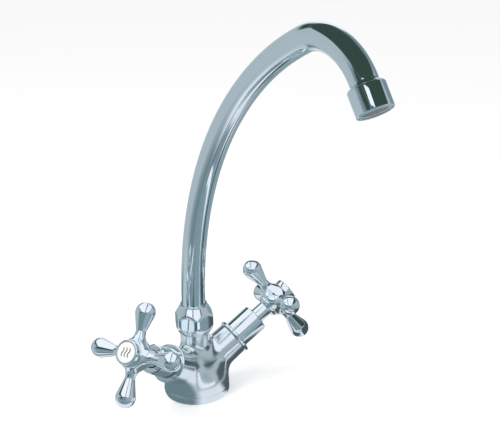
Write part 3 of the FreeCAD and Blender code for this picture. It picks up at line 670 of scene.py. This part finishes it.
def slate(level):
    return (0.73 * level, level, 1.12 * level)


def mist(level):
    return (0.89 * level, level, 1.07 * level)


def pearl(level):
    return (0.99 * level, level, 1.07 * level)


NIGHT = (0.045, 0.072, 0.062)


def facing(studio):
    """The camera's bearing from the tap."""
    back = view_axes(studio)[0]
    return math.atan2(back.y, back.x)


def in_view(studio, aside, near, up=0.0):
    """A place given by how far it lies to the camera's right, towards the camera and up."""
    bearing = facing(studio)
    return Vector((math.cos(bearing) * near - math.sin(bearing) * aside,
                   math.sin(bearing) * near + math.cos(bearing) * aside, up))


def sector(tree, direction, bearing, half, soft):
    """1 where a direction's bearing lies within a half width of another."""
    if half >= 180:
        return 1.0
    flat = node(tree, "VectorMath", {"operation": "MULTIPLY"}, i0=direction, i1=(1, 1, 0)).outputs[0]
    level = node(tree, "VectorMath", {"operation": "NORMALIZE"}, i0=flat).outputs[0]
    along = node(tree, "VectorMath", {"operation": "DOT_PRODUCT"}, i0=level,
                 i1=(math.cos(bearing), math.sin(bearing), 0.0)).outputs["Value"]
    off = maths(tree, "MULTIPLY", maths(tree, "ARCCOSINE", along), 180 / math.pi)
    return mapped(tree, off, half - soft, half + soft, 1.0, 0.0)


def between(tree, value, low, high, soft):
    above = mapped(tree, value, low - soft, low + soft)
    return maths(tree, "MULTIPLY", above, mapped(tree, value, high - soft, high + soft, 1.0, 0.0))


# The paper's painted reflection, light and dark patches that only shiny surfaces see: name, centre aside and
# towards the camera, heading, half width and its softness, then nearest and farthest distance and their
# softness in metres, and colour.
PAINTED_FLOOR_BASE = slate(0.395)
PAINTED_FLOOR_PATCHES = (
    ("shade", 0, 0, 0, 180, 0, -1, 0.25, 0.09, slate(0.345)),
    ("front_shade", 0, 0, -38, 24, 16, -1, 0.26, 0.06, slate(0.265)),
    ("left_side", 0, 0, -125, 62, 26, 0.24, 9.0, 0.06, mist(0.54)),
    ("left_near", 0, 0, -110, 56, 20, -1, 0.22, 0.06, slate(0.24)),
    ("streak", 0, 0, 24, 5, 5, 0.20, 9.0, 0.06, slate(0.46)),
    ("right_side", 0, 0, 92, 30, 16, 0.24, 9.0, 0.08, mist(0.46)),
    ("back_left", 0, 0, -172, 14, 8, 0.15, 9.0, 0.1, pearl(0.80)),
    ("pale_patch", -0.06, -0.10, 22, 58, 14, -1, 0.212, 0.016, pearl(0.90)),
    ("pale_patch_end", -0.06, -0.10, -50, 26, 12, -1, 0.24, 0.02, mist(0.60)),
    ("foot_ring", 0, 0, 34, 32, 10, 0.08, 0.115, 0.008, slate(0.30)),
    ("foot_light", 0, 0, 36, 28, 12, -1, 0.07, 0.012, pearl(0.85)),
    ("foot_dark", 0, 0, 104, 26, 10, -1, 0.09, 0.012, slate(0.11)),
    ("foot_left", 0, 0, -72, 76, 12, -1, 0.075, 0.012, slate(0.24)),
)


# Painted reflection: the drawn light and dark patches that shiny surfaces see on the paper.
def painted_floor_reflection(tree, studio, where):
    seen = rgba(PAINTED_FLOOR_BASE)
    for name, aside, near, heading, half, soft, low, high, blur, tint in PAINTED_FLOOR_PATCHES:
        away = node(tree, "VectorMath", {"operation": "SUBTRACT"}, i0=where, i1=in_view(studio, aside, near))
        away = away.outputs[0]
        distance = node(tree, "VectorMath", {"operation": "LENGTH"}, i0=away).outputs["Value"]
        mask = sector(tree, away, facing(studio) + math.radians(heading), half, soft)
        mask = maths(tree, "MULTIPLY", mask, between(tree, distance, low, high, blur))
        seen = mixed(tree, mask, seen, rgba(tint))
    return seen


# The room: name, heading, half width, lowest and highest elevation, softness and colour.
ROOM_BASE = mist(0.53)
ROOM = (
    ("right_wall", 145, 30, -40, 31, 9, slate(0.29)),
    ("front_wall", -12, 62, -40, 24, 8, slate(0.28)),
    ("front_light", 38, 20, -40, 30, 8, mist(0.45)),
    ("dark_corner", -46, 14, 14, 31, 4, NIGHT),
    ("white_sweep", 176, 13, -40, 29, 4, pearl(1.0)),
    ("ceiling", 0, 180, 30, 91, 2, NIGHT),
    ("ceiling_left", -148, 15, 17, 32, 4, NIGHT),
    ("ceiling_right", 150, 20, 28, 38, 8, slate(0.25)),
)


def make_room(scene, studio):
    """The world: white to the camera, an even light for matt surfaces and the drawn room for shiny ones."""
    world = bpy.data.worlds.new("studio")
    world.use_nodes = True
    scene.world = world
    world.cycles.sampling_method = "NONE"
    tree = world.node_tree
    background = first_node(tree, "BACKGROUND")
    direction = node(tree, "TexCoord").outputs["Generated"]
    height = node(tree, "SeparateXYZ", Vector=direction).outputs[2]
    elevation = maths(tree, "MULTIPLY", maths(tree, "ARCSINE", height), 180 / math.pi)
    seen = rgba(ROOM_BASE)
    for name, heading, half, low, high, soft, tint in ROOM:
        mask = sector(tree, direction, facing(studio) + math.radians(heading), half, soft)
        mask = maths(tree, "MULTIPLY", mask, between(tree, elevation, low, high, soft))
        seen = mixed(tree, mask, seen, rgba(tint))
    even = rgba((1, 1, 1), studio.soft_light)
    shown = mixed(tree, seen_directly(tree), mixed(tree, seen_in_gloss(tree), even, seen), rgba((1, 1, 1)))
    tree.links.new(shown, background.inputs["Color"])
    background.inputs["Strength"].default_value = 1.0


# Painted reflections: bright softboxes, a low window and a glint strip, and dark flags, as cards that only
# shiny surfaces see, and only from their lit side, around which the corners run clockwise: name, corners as
# (aside, towards the camera, up) in metres, and colour.
PAINTED_REFLECTION_CARDS = (
    ("left_softbox", ((-0.20, 0.26, 0.21), (-0.21, -0.12, 0.21), (-0.002, -0.16, 0.21), (-0.002, 0.03, 0.21),
                      (-0.045, 0.30, 0.21)), pearl(1.06)),
    ("right_softbox", ((0.012, 0.04, 0.21), (0.012, -0.10, 0.21), (0.17, -0.10, 0.21), (0.17, 0.07, 0.21),
                       (0.20, 0.32, 0.21), (-0.020, 0.32, 0.21)), pearl(1.0)),
    ("low_window", ((0.020, 0.110, 0), (0.020, 0.110, 0.021), (0.118, 0.058, 0.021), (0.118, 0.058, 0)),
     pearl(1.0)),
    ("left_flag", ((-0.105, 0.045, 0), (-0.105, 0.045, 0.036), (0.018, 0.110, 0.036), (0.018, 0.110, 0)),
     slate(0.13)),
    ("right_flag", ((0.117, 0.025, 0), (0.117, 0.025, 0.05), (0.092, -0.077, 0.05), (0.092, -0.077, 0)),
     slate(0.10)),
    ("outlet_strip", ((0.066, 0.262, 0.3584), (0.1083, 0.264, 0.3698), (0.108, 0.276, 0.353),
                      (0.068, 0.2745, 0.342)), pearl(1.1)),
)


# Painted reflections: cards that glow only for glossy rays, unseen by the camera and casting no shadow.
def make_painted_reflection_cards(studio):
    for name, corners, level in PAINTED_REFLECTION_CARDS:
        data = bpy.data.meshes.new(name)
        data.from_pydata([in_view(studio, *corner) for corner in corners], [], [tuple(range(len(corners)))])
        card = linked(name, data)
        material, tree, shader = new_material(name)
        glow = node(tree, "Emission", Color=rgba(level), Strength=1.0)
        clear = node(tree, "BsdfTransparent")
        side = node(tree, "MixShader", Fac=node(tree, "NewGeometry").outputs["Backfacing"])
        tree.links.new(glow.outputs[0], side.inputs[1])
        tree.links.new(clear.outputs[0], side.inputs[2])
        tree.links.new(side.outputs[0], first_node(tree, "OUTPUT_MATERIAL").inputs["Surface"])
        material.cycles.emission_sampling = "NONE"
        data.materials.append(material)
        card.visible_camera = card.visible_diffuse = card.visible_shadow = card.visible_transmission = False


# Lamps: name, heading from the camera, elevation, distance and size in metres, power in watts.
LAMPS = (
    ("key", -70, 55, 0.9, 0.42, 2.2),
    ("low_key", -34, 20, 1.1, 0.3, 4.0),
    ("fill", 55, 30, 1.2, 0.6, 0.6),
)
LAMP_AIM = Vector((0.0, -0.02, 0.09))


def make_lamps(studio):
    """Lights for the matt surfaces and the shadow, placed by the camera's heading."""
    for name, heading, height, distance, size, power in LAMPS:
        bearing, lift = facing(studio) + math.radians(heading), math.radians(height)
        away = Vector((math.cos(bearing) * math.cos(lift), math.sin(bearing) * math.cos(lift),
                       math.sin(lift)))
        data = bpy.data.lights.new(name, "AREA")
        data.shape = "DISK"
        data.size = size
        data.energy = power
        lamp = linked(name, data)
        turn = away.to_track_quat("Z", "Y").to_matrix().to_4x4()
        lamp.matrix_world = Matrix.Translation(LAMP_AIM + away * distance) @ turn
        lamp.visible_camera = lamp.visible_glossy = False


# The cast body, and its bores as (radius, bottom, top).
UPRIGHT = Matrix.Identity(4)
BODY_TOP = 64
CORE = [
    (0, 0), (24, 0), (25, 6.5, 8, 1), (16.5, 29, 27, 1), (11.4, 42, 19, -1), (11.4, 51.3), (10.6, 51.3),
    (10.6, BODY_TOP), (0, BODY_TOP),
]
ARM = [(0, 0), (14, 0), (14, 8), (13.4, 38), (12.6, 38.8), (0, 38.8)]
COLUMN_BORE = (8.05, 33, 70)
STUD_BORE, STUD_OFFSET = (3.4, -5, 14), 14
PORT_BORES, PORT_OFFSET = ((4.5, -5, 12), (3.4, -5, 23)), 10
VALVE_BORES = ((4, 8, 17.1), (9.6, 17, 45), (11.2, 37.3, 45))
DRILLINGS, DRILLING_HEIGHT = ((2.2, 0, 14),), 35.5
GROOVE_OUTER, GROOVE_INNER = (21.8, -5, 3), (18.6, -6, 4)
BORE_EASE, GROOVE_EASE = 0.5, 0.3


def body_solid(blend):
    """The casting with its waterways, as a distance."""
    core = spun(outline_field(CORE), UPRIGHT)
    arms = [spun(outline_field(ARM), valve_place(side)) for side in SIDES]
    bores = [spun(cylinder_field(*COLUMN_BORE), UPRIGHT),
             spun(cylinder_field(*STUD_BORE), Matrix.Translation((0, STUD_OFFSET, 0)))]
    for side in SIDES:
        heading = arm_heading(side)
        port = Matrix.Translation((PORT_OFFSET * math.cos(heading), PORT_OFFSET * math.sin(heading), 0))
        drilling = (Matrix.Translation((0, 0, DRILLING_HEIGHT)) @ Matrix.Rotation(heading, 4, "Z")
                    @ Matrix.Rotation(math.pi / 2, 4, "Y"))
        for place, cuts in ((port, PORT_BORES), (valve_place(side), VALVE_BORES), (drilling, DRILLINGS)):
            bores += [spun(cylinder_field(*cut), place) for cut in cuts]
    groove_outer = spun(cylinder_field(*GROOVE_OUTER), UPRIGHT)
    groove_inner = spun(cylinder_field(*GROOVE_INNER), UPRIGHT)

    def solid(points):
        shape = joined(core(points), joined(arms[0](points), arms[1](points), blend), blend)
        shape = np.maximum(shape, np.maximum(points[:, 2] - BODY_TOP, -points[:, 2]))
        for bore in bores:
            shape = kept(shape, -bore(points), BORE_EASE)
        groove = np.maximum(groove_outer(points), -groove_inner(points))
        return kept(shape, -groove, GROOVE_EASE)
    return solid


class TAP_OT_body(bpy.types.Operator):
    """Builds the cast body, whose arms run smoothly into its foot and column"""
    bl_idname = "tap.body"
    bl_label = "Cast body"

    def execute(self, context):
        sizes = context.scene.tap_body
        solid = body_solid(sizes.blend / MM)
        body = field_mesh("tap_body", solid, (-46, -26, 0), (46, 26, BODY_TOP), sizes.grain / MM)
        finished(body, "chrome_satin", "chrome", "root", "mixer_body")
        return {"FINISHED"}


# The union nut. Its mouth flares from its throat above a height.
NUT_TOP = 74.2
NUT = [
    (0, 51.3), (11.7, 51.3), (15.5, 59.5, 11, 1), (15.5, 65), (10.65, 73.3), (10.65, NUT_TOP), (0, NUT_TOP),
]
NUT_FLAT = 13.8
NUT_BORE, NUT_THROAT = (10.65, 40, 68), (9.05, 60, 80)
NUT_MOUTH, NUT_MOUTH_DEPTH = 72.4, 1.8
NUT_EASE, NUT_GRAIN = 0.2, 0.4


def nut_solid(edge):
    """The nut as a distance: a turned crown, cut by six flats and its bores."""
    crown = spun(outline_field(NUT), UPRIGHT)
    bore = spun(cylinder_field(*NUT_BORE), UPRIGHT)
    throat = spun(cylinder_field(*NUT_THROAT), UPRIGHT)

    def solid(points):
        across, up = np.hypot(points[:, 0], points[:, 1]), points[:, 2]
        flats = np.full(len(points), -np.inf)
        for k in range(3):
            turn = math.radians(60 * k + 30)
            reach = np.abs(points[:, 0] * math.cos(turn) + points[:, 1] * math.sin(turn))
            flats = np.maximum(flats, reach - NUT_FLAT)
        shape = kept(crown(points), flats, edge)
        shape = kept(shape, -bore(points), NUT_EASE)
        mouth = across - NUT_THROAT[0] - np.clip(up - NUT_MOUTH, 0, NUT_MOUTH_DEPTH) / 2
        return kept(shape, -np.minimum(throat(points), np.maximum(mouth, NUT_MOUTH - up)), NUT_EASE)
    return solid


class TAP_OT_nut(bpy.types.Operator):
    """Builds the hexagonal union nut with its conical crown"""
    bl_idname = "tap.nut"
    bl_label = "Union nut"

    def execute(self, context):
        edge = context.scene.tap_body.nut_edge / MM
        nut = field_mesh("union_nut", nut_solid(edge), (-16, -16, 51.3), (16, 16, NUT_TOP), NUT_GRAIN)
        finished(nut, "chrome_plate", "chrome", "root", "spout_nut")
        return {"FINISHED"}


# The spout's heading and foot, and its two bends as (radius, angle).
SPOUT_TURN = math.radians(-7.6)
TUBE_START = 66.65
TUBE_WALLS = (9.0, 8.0)
RISE = (253.0, math.radians(64))
ARCH = (45.2, math.radians(82))


def spout_line(step=1.2):
    """Centres and tangents along the tube, and the level direction across its plane."""
    toward = np.array([math.sin(SPOUT_TURN), -math.cos(SPOUT_TURN), 0.0])
    up = np.array([0.0, 0.0, 1.0])
    centres = [np.array([0, 0, TUBE_START]), np.array([0, 0, NUT_TOP])]
    tangents = [up, up]
    lean = 0.0
    for radius, sweep in (RISE, ARCH):
        count = math.ceil(radius * sweep / step)
        pivot = centres[-1] + radius * (math.cos(lean) * toward - math.sin(lean) * up)
        for angle in lean + sweep * np.arange(1, count + 1) / count:
            centres.append(pivot - radius * (math.cos(angle) * toward - math.sin(angle) * up))
            tangents.append(math.cos(angle) * up + math.sin(angle) * toward)
        lean += sweep
    return np.array(centres), np.array(tangents), np.cross(toward, up)


def outlet_place():
    """Lays an outlet piece's Z axis along the tube's end."""
    centres, tangents, level = spout_line()
    along = Vector(tangents[-1])
    side = Vector(level)
    turn = Matrix((side, along.cross(side), along)).transposed().to_4x4()
    return Matrix.Translation(Vector(centres[-1]) * MM) @ turn


class TAP_OT_spout(bpy.types.Operator):
    """Sweeps the swan-neck tube"""
    bl_idname = "tap.spout"
    bl_label = "Spout"

    def execute(self, context):
        centres, tangents, level = spout_line()
        tube = swept("swan_neck", centres, tangents, level, TUBE_WALLS)
        finished(tube, "chrome_plate", "chrome", "spout", "spout_tube")
        return {"FINISHED"}


# The outlet, measured along the tube from its end.
RIM = 3.0
SLEEVE_END = 19.6
SCREEN_RADIUS, SCREEN_BACK = 8.85, 1.45
SOCKET = [
    (6.8, -2), (7.95, -2), (7.95, 0), (9, 0), (11.3, 2.6, 3.4, -1), (11.3, 3.0), (10.65, 3.0), (10.65, 12.4),
    (6.8, 12.4),
]
SLEEVE = [
    (10.7, RIM), (11.4, RIM), (11.9, RIM + 0.5), (11.9, SLEEVE_END - 1.3), (11.0, SLEEVE_END, 1.3, 1),
    (10.2, SLEEVE_END), (10.2, SLEEVE_END - 1.5), (10.7, SLEEVE_END - 1.5),
]


class TAP_OT_outlet(bpy.types.Operator):
    """Turns the outlet's socket and sleeve, and weaves the aerator's screen"""
    bl_idname = "tap.outlet"
    bl_label = "Outlet"

    def execute(self, context):
        sizes = context.scene.tap_outlet
        place = outlet_place()
        socket = turned("outlet_collar", SOCKET, place, 0.2)
        finished(socket, "chrome_plate", "chrome", "spout", "outlet_socket")
        sleeve = turned("aerator_sleeve", SLEEVE, place, 0.35)
        finished(sleeve, "chrome_plate", "chrome", "spout", "aerator_housing")
        screen = woven_screen("woven_screen", SCREEN_RADIUS, sizes.wire / MM, sizes.pitch / MM,
                              SLEEVE_END - SCREEN_BACK, place)
        finished(screen, "drawn_steel", "steel", "spout", "aerator_screen")
        return {"FINISHED"}


def woven_screen(name, radius, wire, pitch, height, place):
    """Round wires in plain weave, cut to a disc, in a thin rolled rim."""
    verts, faces = [], []
    count, sides = int(radius / pitch), 6
    for across in (0, 1):
        for row in range(-count, count + 1):
            offset = row * pitch
            half = math.sqrt(max(radius ** 2 - offset ** 2, 0)) - wire / 2
            if half < pitch:
                continue
            steps = max(6, int(4 * half / pitch) + 1)
            run = np.linspace(-half, half, steps)
            lift = wire * 0.55 * np.cos(math.pi * (run / pitch + row + across))
            first = len(verts)
            for t, z in zip(run, lift):
                for k in range(sides):
                    a = 2 * math.pi * k / sides
                    side = offset + wire / 2 * math.cos(a)
                    point = (t, side) if across == 0 else (side, t)
                    verts.append((*point, height + z + wire / 2 * math.sin(a)))
            rows = rings_of(sides, steps, first)
            faces += bands(rows, flip=bool(across)) + [rows[0], rows[-1]]
    rim, turns, around = wire * 0.9, 72, 8
    first = len(verts)
    for i in range(turns):
        a = 2 * math.pi * i / turns
        for k in range(around):
            b = 2 * math.pi * k / around
            reach = radius - rim / 2 + rim * math.cos(b)
            verts.append((reach * math.cos(a), reach * math.sin(a), height + rim * math.sin(b)))
    faces += bands(rings_of(around, turns, first), closed=True, flip=True)
    return placed(mesh_object(name, verts, faces), place)


# The valves' covers and the handles' caps and discs, along the valve's axis.
SHROUD = [
    (11.55, 38.8), (13.7, 38.8), (14.6, 39.7, 0.9, 1), (14.6, 40.5), (13.7, 41.4, 0.9, 1), (11.1, 41.4),
    (11.1, 61.8), (10.2, 62.7), (6.55, 62.7), (6.55, 61.5), (10.1, 61.5), (10.1, 40.45), (11.55, 40.45),
]
CAP = [
    (0, 89.5), (4.3, 89.5), (4.3, 91.5), (9.3, 91.5), (9.3, 95.5), (8.5, 96.3, 0.8, 1), (7.5, 96.3),
    (7.5, 93.9), (0, 93.9),
]
DISC_TOP, DISC_CROWN = 96.6, 47.175
DISC = [(0, 93.9), (7.5, 93.9), (7.5, 96.0), (0, DISC_TOP, DISC_CROWN, 1)]
MARK_SINK, MARK_DEPTH = 0.01, 0.08
MARK_TURN = Matrix.Rotation(math.radians(90), 4, "Z")


class TAP_OT_valves(bpy.types.Operator):
    """Turns the chrome covers of the two valves"""
    bl_idname = "tap.valves"
    bl_label = "Valve covers"

    def execute(self, context):
        edge = context.scene.tap_valve.edge / MM
        for side in SIDES:
            cover = turned(f"{side}_cover", SHROUD, valve_metres(side), edge)
            finished(cover, "chrome_plate", "chrome", "root", f"{side}_valve_shroud")
        return {"FINISHED"}


# A cross handle along the valve's axis: its hub, its bores and its club-shaped arms.
HUB_BOTTOM, HUB_TOP = 59.2, 91.5
HUB = [
    (0, HUB_BOTTOM), (6.2, HUB_BOTTOM), (6.2, 72.9), (9.6, 76.1, 3.6, 1), (11.4, 80.5, 7.5, 1), (11.4, 87.0),
    (9.9, HUB_TOP, 6, 1), (0, HUB_TOP),
]
HANDLE_BORES = ((4, 50, 74), (2, 50, 95), (4.3, 79, 95))
HANDLE_REACH, HANDLE_EASE = 39, 0.3
HANDLE_PLANE = 84.0
ARM_ROOT, ARM_ROOT_AT = 7.0, 7.5
ARM_NECK, ARM_NECK_AT = 3.9, 17.5
KNOB, KNOB_AT = 7.5, 31.3


def club_outline():
    """An arm's half outline, as (distance from its axis, distance from the hub's axis)."""
    run, rise = ARM_NECK_AT - ARM_ROOT_AT, ARM_ROOT - ARM_NECK
    flare = (run * run + rise * rise) / 2 / rise
    reach = KNOB_AT - ARM_NECK_AT
    slope = math.asin(KNOB / math.hypot(reach, ARM_NECK)) - math.atan(ARM_NECK / reach)
    return [
        (0, 0), (ARM_ROOT, 0), (ARM_ROOT, ARM_ROOT_AT), (ARM_NECK, ARM_NECK_AT, flare, -1),
        (KNOB * math.cos(slope), KNOB_AT - KNOB * math.sin(slope)), (0, KNOB_AT + KNOB, KNOB, 1),
    ]


def handle_solid(blend):
    """One cross handle about its own axis."""
    hub = spun(outline_field(HUB), UPRIGHT)
    club = outline_field(club_outline())
    bores = [spun(cylinder_field(*cut), UPRIGHT) for cut in HANDLE_BORES]

    def solid(points):
        reach = np.maximum(np.abs(points[:, 0]), np.abs(points[:, 1]))
        other = np.minimum(np.abs(points[:, 0]), np.abs(points[:, 1]))
        arm = club(np.hypot(other, points[:, 2] - HANDLE_PLANE), reach)
        shape = joined(hub(points), arm, blend)
        shape = kept(shape, points[:, 2] - HUB_TOP, HANDLE_EASE)
        for bore in bores:
            shape = kept(shape, -bore(points), HANDLE_EASE)
        return shape
    return solid


class TAP_OT_handles(bpy.types.Operator):
    """Builds the two cross handles"""
    bl_idname = "tap.handles"
    bl_label = "Cross handles"

    def execute(self, context):
        sizes = context.scene.tap_handle
        low = (-HANDLE_REACH, -HANDLE_REACH, HUB_BOTTOM)
        high = (HANDLE_REACH, HANDLE_REACH, HUB_TOP)
        first = field_mesh("hot_cross", handle_solid(sizes.blend / MM), low, high, sizes.grain / MM)
        second = linked("cold_cross", first.data.copy())
        for side, cross in zip(SIDES, (first, second)):
            placed(cross, valve_metres(side, HANDLE_TURN[side]))
            finished(cross, "chrome_plate", "chrome", f"{side}_handle", f"{side}_cross_handle")
        return {"FINISHED"}


def strokes_mesh(name, lines, width, lift, thickness, place):
    """Flat raised strokes with round ends, following the index disc's crown."""
    verts, faces = [], []
    for line in lines:
        line = np.array(line, float)
        run = np.gradient(line, axis=0)
        run /= np.linalg.norm(run, axis=1, keepdims=True)
        left = np.stack([-run[:, 1], run[:, 0]], 1)
        t = np.linspace(0, 1, len(line))
        half = width / 2 * np.sqrt(np.clip(1 - (2 * t - 1) ** 8, 0.02, 1))
        first = len(verts)
        for height in (0.0, thickness):
            for sign in (1, -1):
                for point in line + sign * left * half[:, None]:
                    fall = (point @ point) / (2 * DISC_CROWN)
                    verts.append((*point, lift - fall + height))
        n = len(line)
        a, b, c, d = first, first + n, first + 2 * n, first + 3 * n
        for i in range(n - 1):
            faces += [(c + i, d + i, d + i + 1, c + i + 1), (a + i, a + i + 1, b + i + 1, b + i),
                      (a + i, c + i, c + i + 1, a + i + 1), (b + i, b + i + 1, d + i + 1, d + i)]
        faces += [(a, b, d, c), (a + n - 1, c + n - 1, d + n - 1, b + n - 1)]
    return placed(mesh_object(name, verts, faces), place)


def heat_mark():
    """Three rising waves."""
    t = np.linspace(-1, 1, 25)
    return [np.stack([x + 0.75 * np.sin(t * math.pi), 3.6 * t], 1) for x in (-2.7, 0, 2.7)]


def frost_mark():
    """A six-armed star with short side strokes."""
    def toward(turn):
        return np.array([math.cos(turn), math.sin(turn)])

    turns = [math.pi * k / 3 + math.pi / 2 for k in range(6)]
    lines = [[toward(turn) * s for s in np.linspace(-4.3, 4.3, 15)] for turn in turns[:3]]
    for turn in turns:
        for lean in (-0.8, 0.8):
            start, step = toward(turn) * 2.6, toward(turn + lean) * 1.4
            lines.append([start + step * s for s in np.linspace(0, 1, 8)])
    return lines


class TAP_OT_index(bpy.types.Operator):
    """Turns the index caps and their porcelain discs, with a generic mark for hot and for cold"""
    bl_idname = "tap.index"
    bl_label = "Index caps"

    def execute(self, context):
        width = context.scene.tap_handle.mark / MM
        for side in SIDES:
            place = valve_metres(side, HANDLE_TURN[side])
            body = f"{side}_handle"
            cap = turned(f"{side}_cap", CAP, place, 0.25)
            finished(cap, "chrome_plate", "chrome", body, f"{side}_index_cap")
            disc = turned(f"{side}_porcelain", DISC, place, 0.3)
            finished(disc, "glazed_porcelain", "porcelain", body, f"{side}_index_disc")
            lines = heat_mark() if side == "hot" else frost_mark()
            mark = strokes_mesh(f"{side}_mark", lines, width, DISC_TOP - MARK_SINK, MARK_DEPTH,
                                place @ MARK_TURN)
            finished(mark, "fired_paint", "porcelain", body)
        return {"FINISHED"}


class TAP_OT_inner(bpy.types.Operator):
    """Gives every CAD piece that still shows its finish"""
    bl_idname = "tap.inner"
    bl_label = "Inner pieces"

    def execute(self, context):
        materials = make_materials(context.scene.tap_finish)
        slots = {entry["node"]: entry["material_slot"] for entry in frame["record"]["subparts"]}
        for name, piece in frame["nodes"].items():
            wanted = materials[SLOT_MATERIALS[slots[name]]]
            if not piece.material_slots:
                piece.data.materials.append(wanted)
            for entry in piece.material_slots:
                entry.material = wanted
        return {"FINISHED"}


OPERATORS = (TAP_OT_stage, TAP_OT_body, TAP_OT_nut, TAP_OT_spout, TAP_OT_outlet, TAP_OT_valves,
             TAP_OT_handles, TAP_OT_index, TAP_OT_inner)


class TAP_PT_panel(bpy.types.Panel):
    """Lists the pieces and their sizes"""
    bl_idname = "TAP_PT_panel"
    bl_label = "Kitchen tap"
    bl_space_type = "VIEW_3D"
    bl_region_type = "UI"
    bl_category = "Tap"

    def draw(self, context):
        for operator in OPERATORS:
            self.layout.operator(operator.bl_idname)
        for group in GROUPS:
            sizes = getattr(context.scene, group)
            for name in sizes.bl_rna.properties.keys():
                if name not in ("rna_type", "name"):
                    self.layout.prop(sizes, name)


def register():
    for group in GROUPS.values():
        bpy.utils.register_class(group)
    for kind in (*OPERATORS, TAP_PT_panel):
        bpy.utils.register_class(kind)
    for name, group in GROUPS.items():
        setattr(bpy.types.Scene, name, bpy.props.PointerProperty(type=group))


def unregister():
    for name in GROUPS:
        delattr(bpy.types.Scene, name)
    for kind in (TAP_PT_panel, *reversed(OPERATORS)):
        bpy.utils.unregister_class(kind)
    for group in GROUPS.values():
        bpy.utils.unregister_class(group)


def main():
    register()
    for operator in OPERATORS:
        group, name = operator.bl_idname.split(".")
        getattr(getattr(bpy.ops, group), name)()


if __name__ == "__main__":
    main()
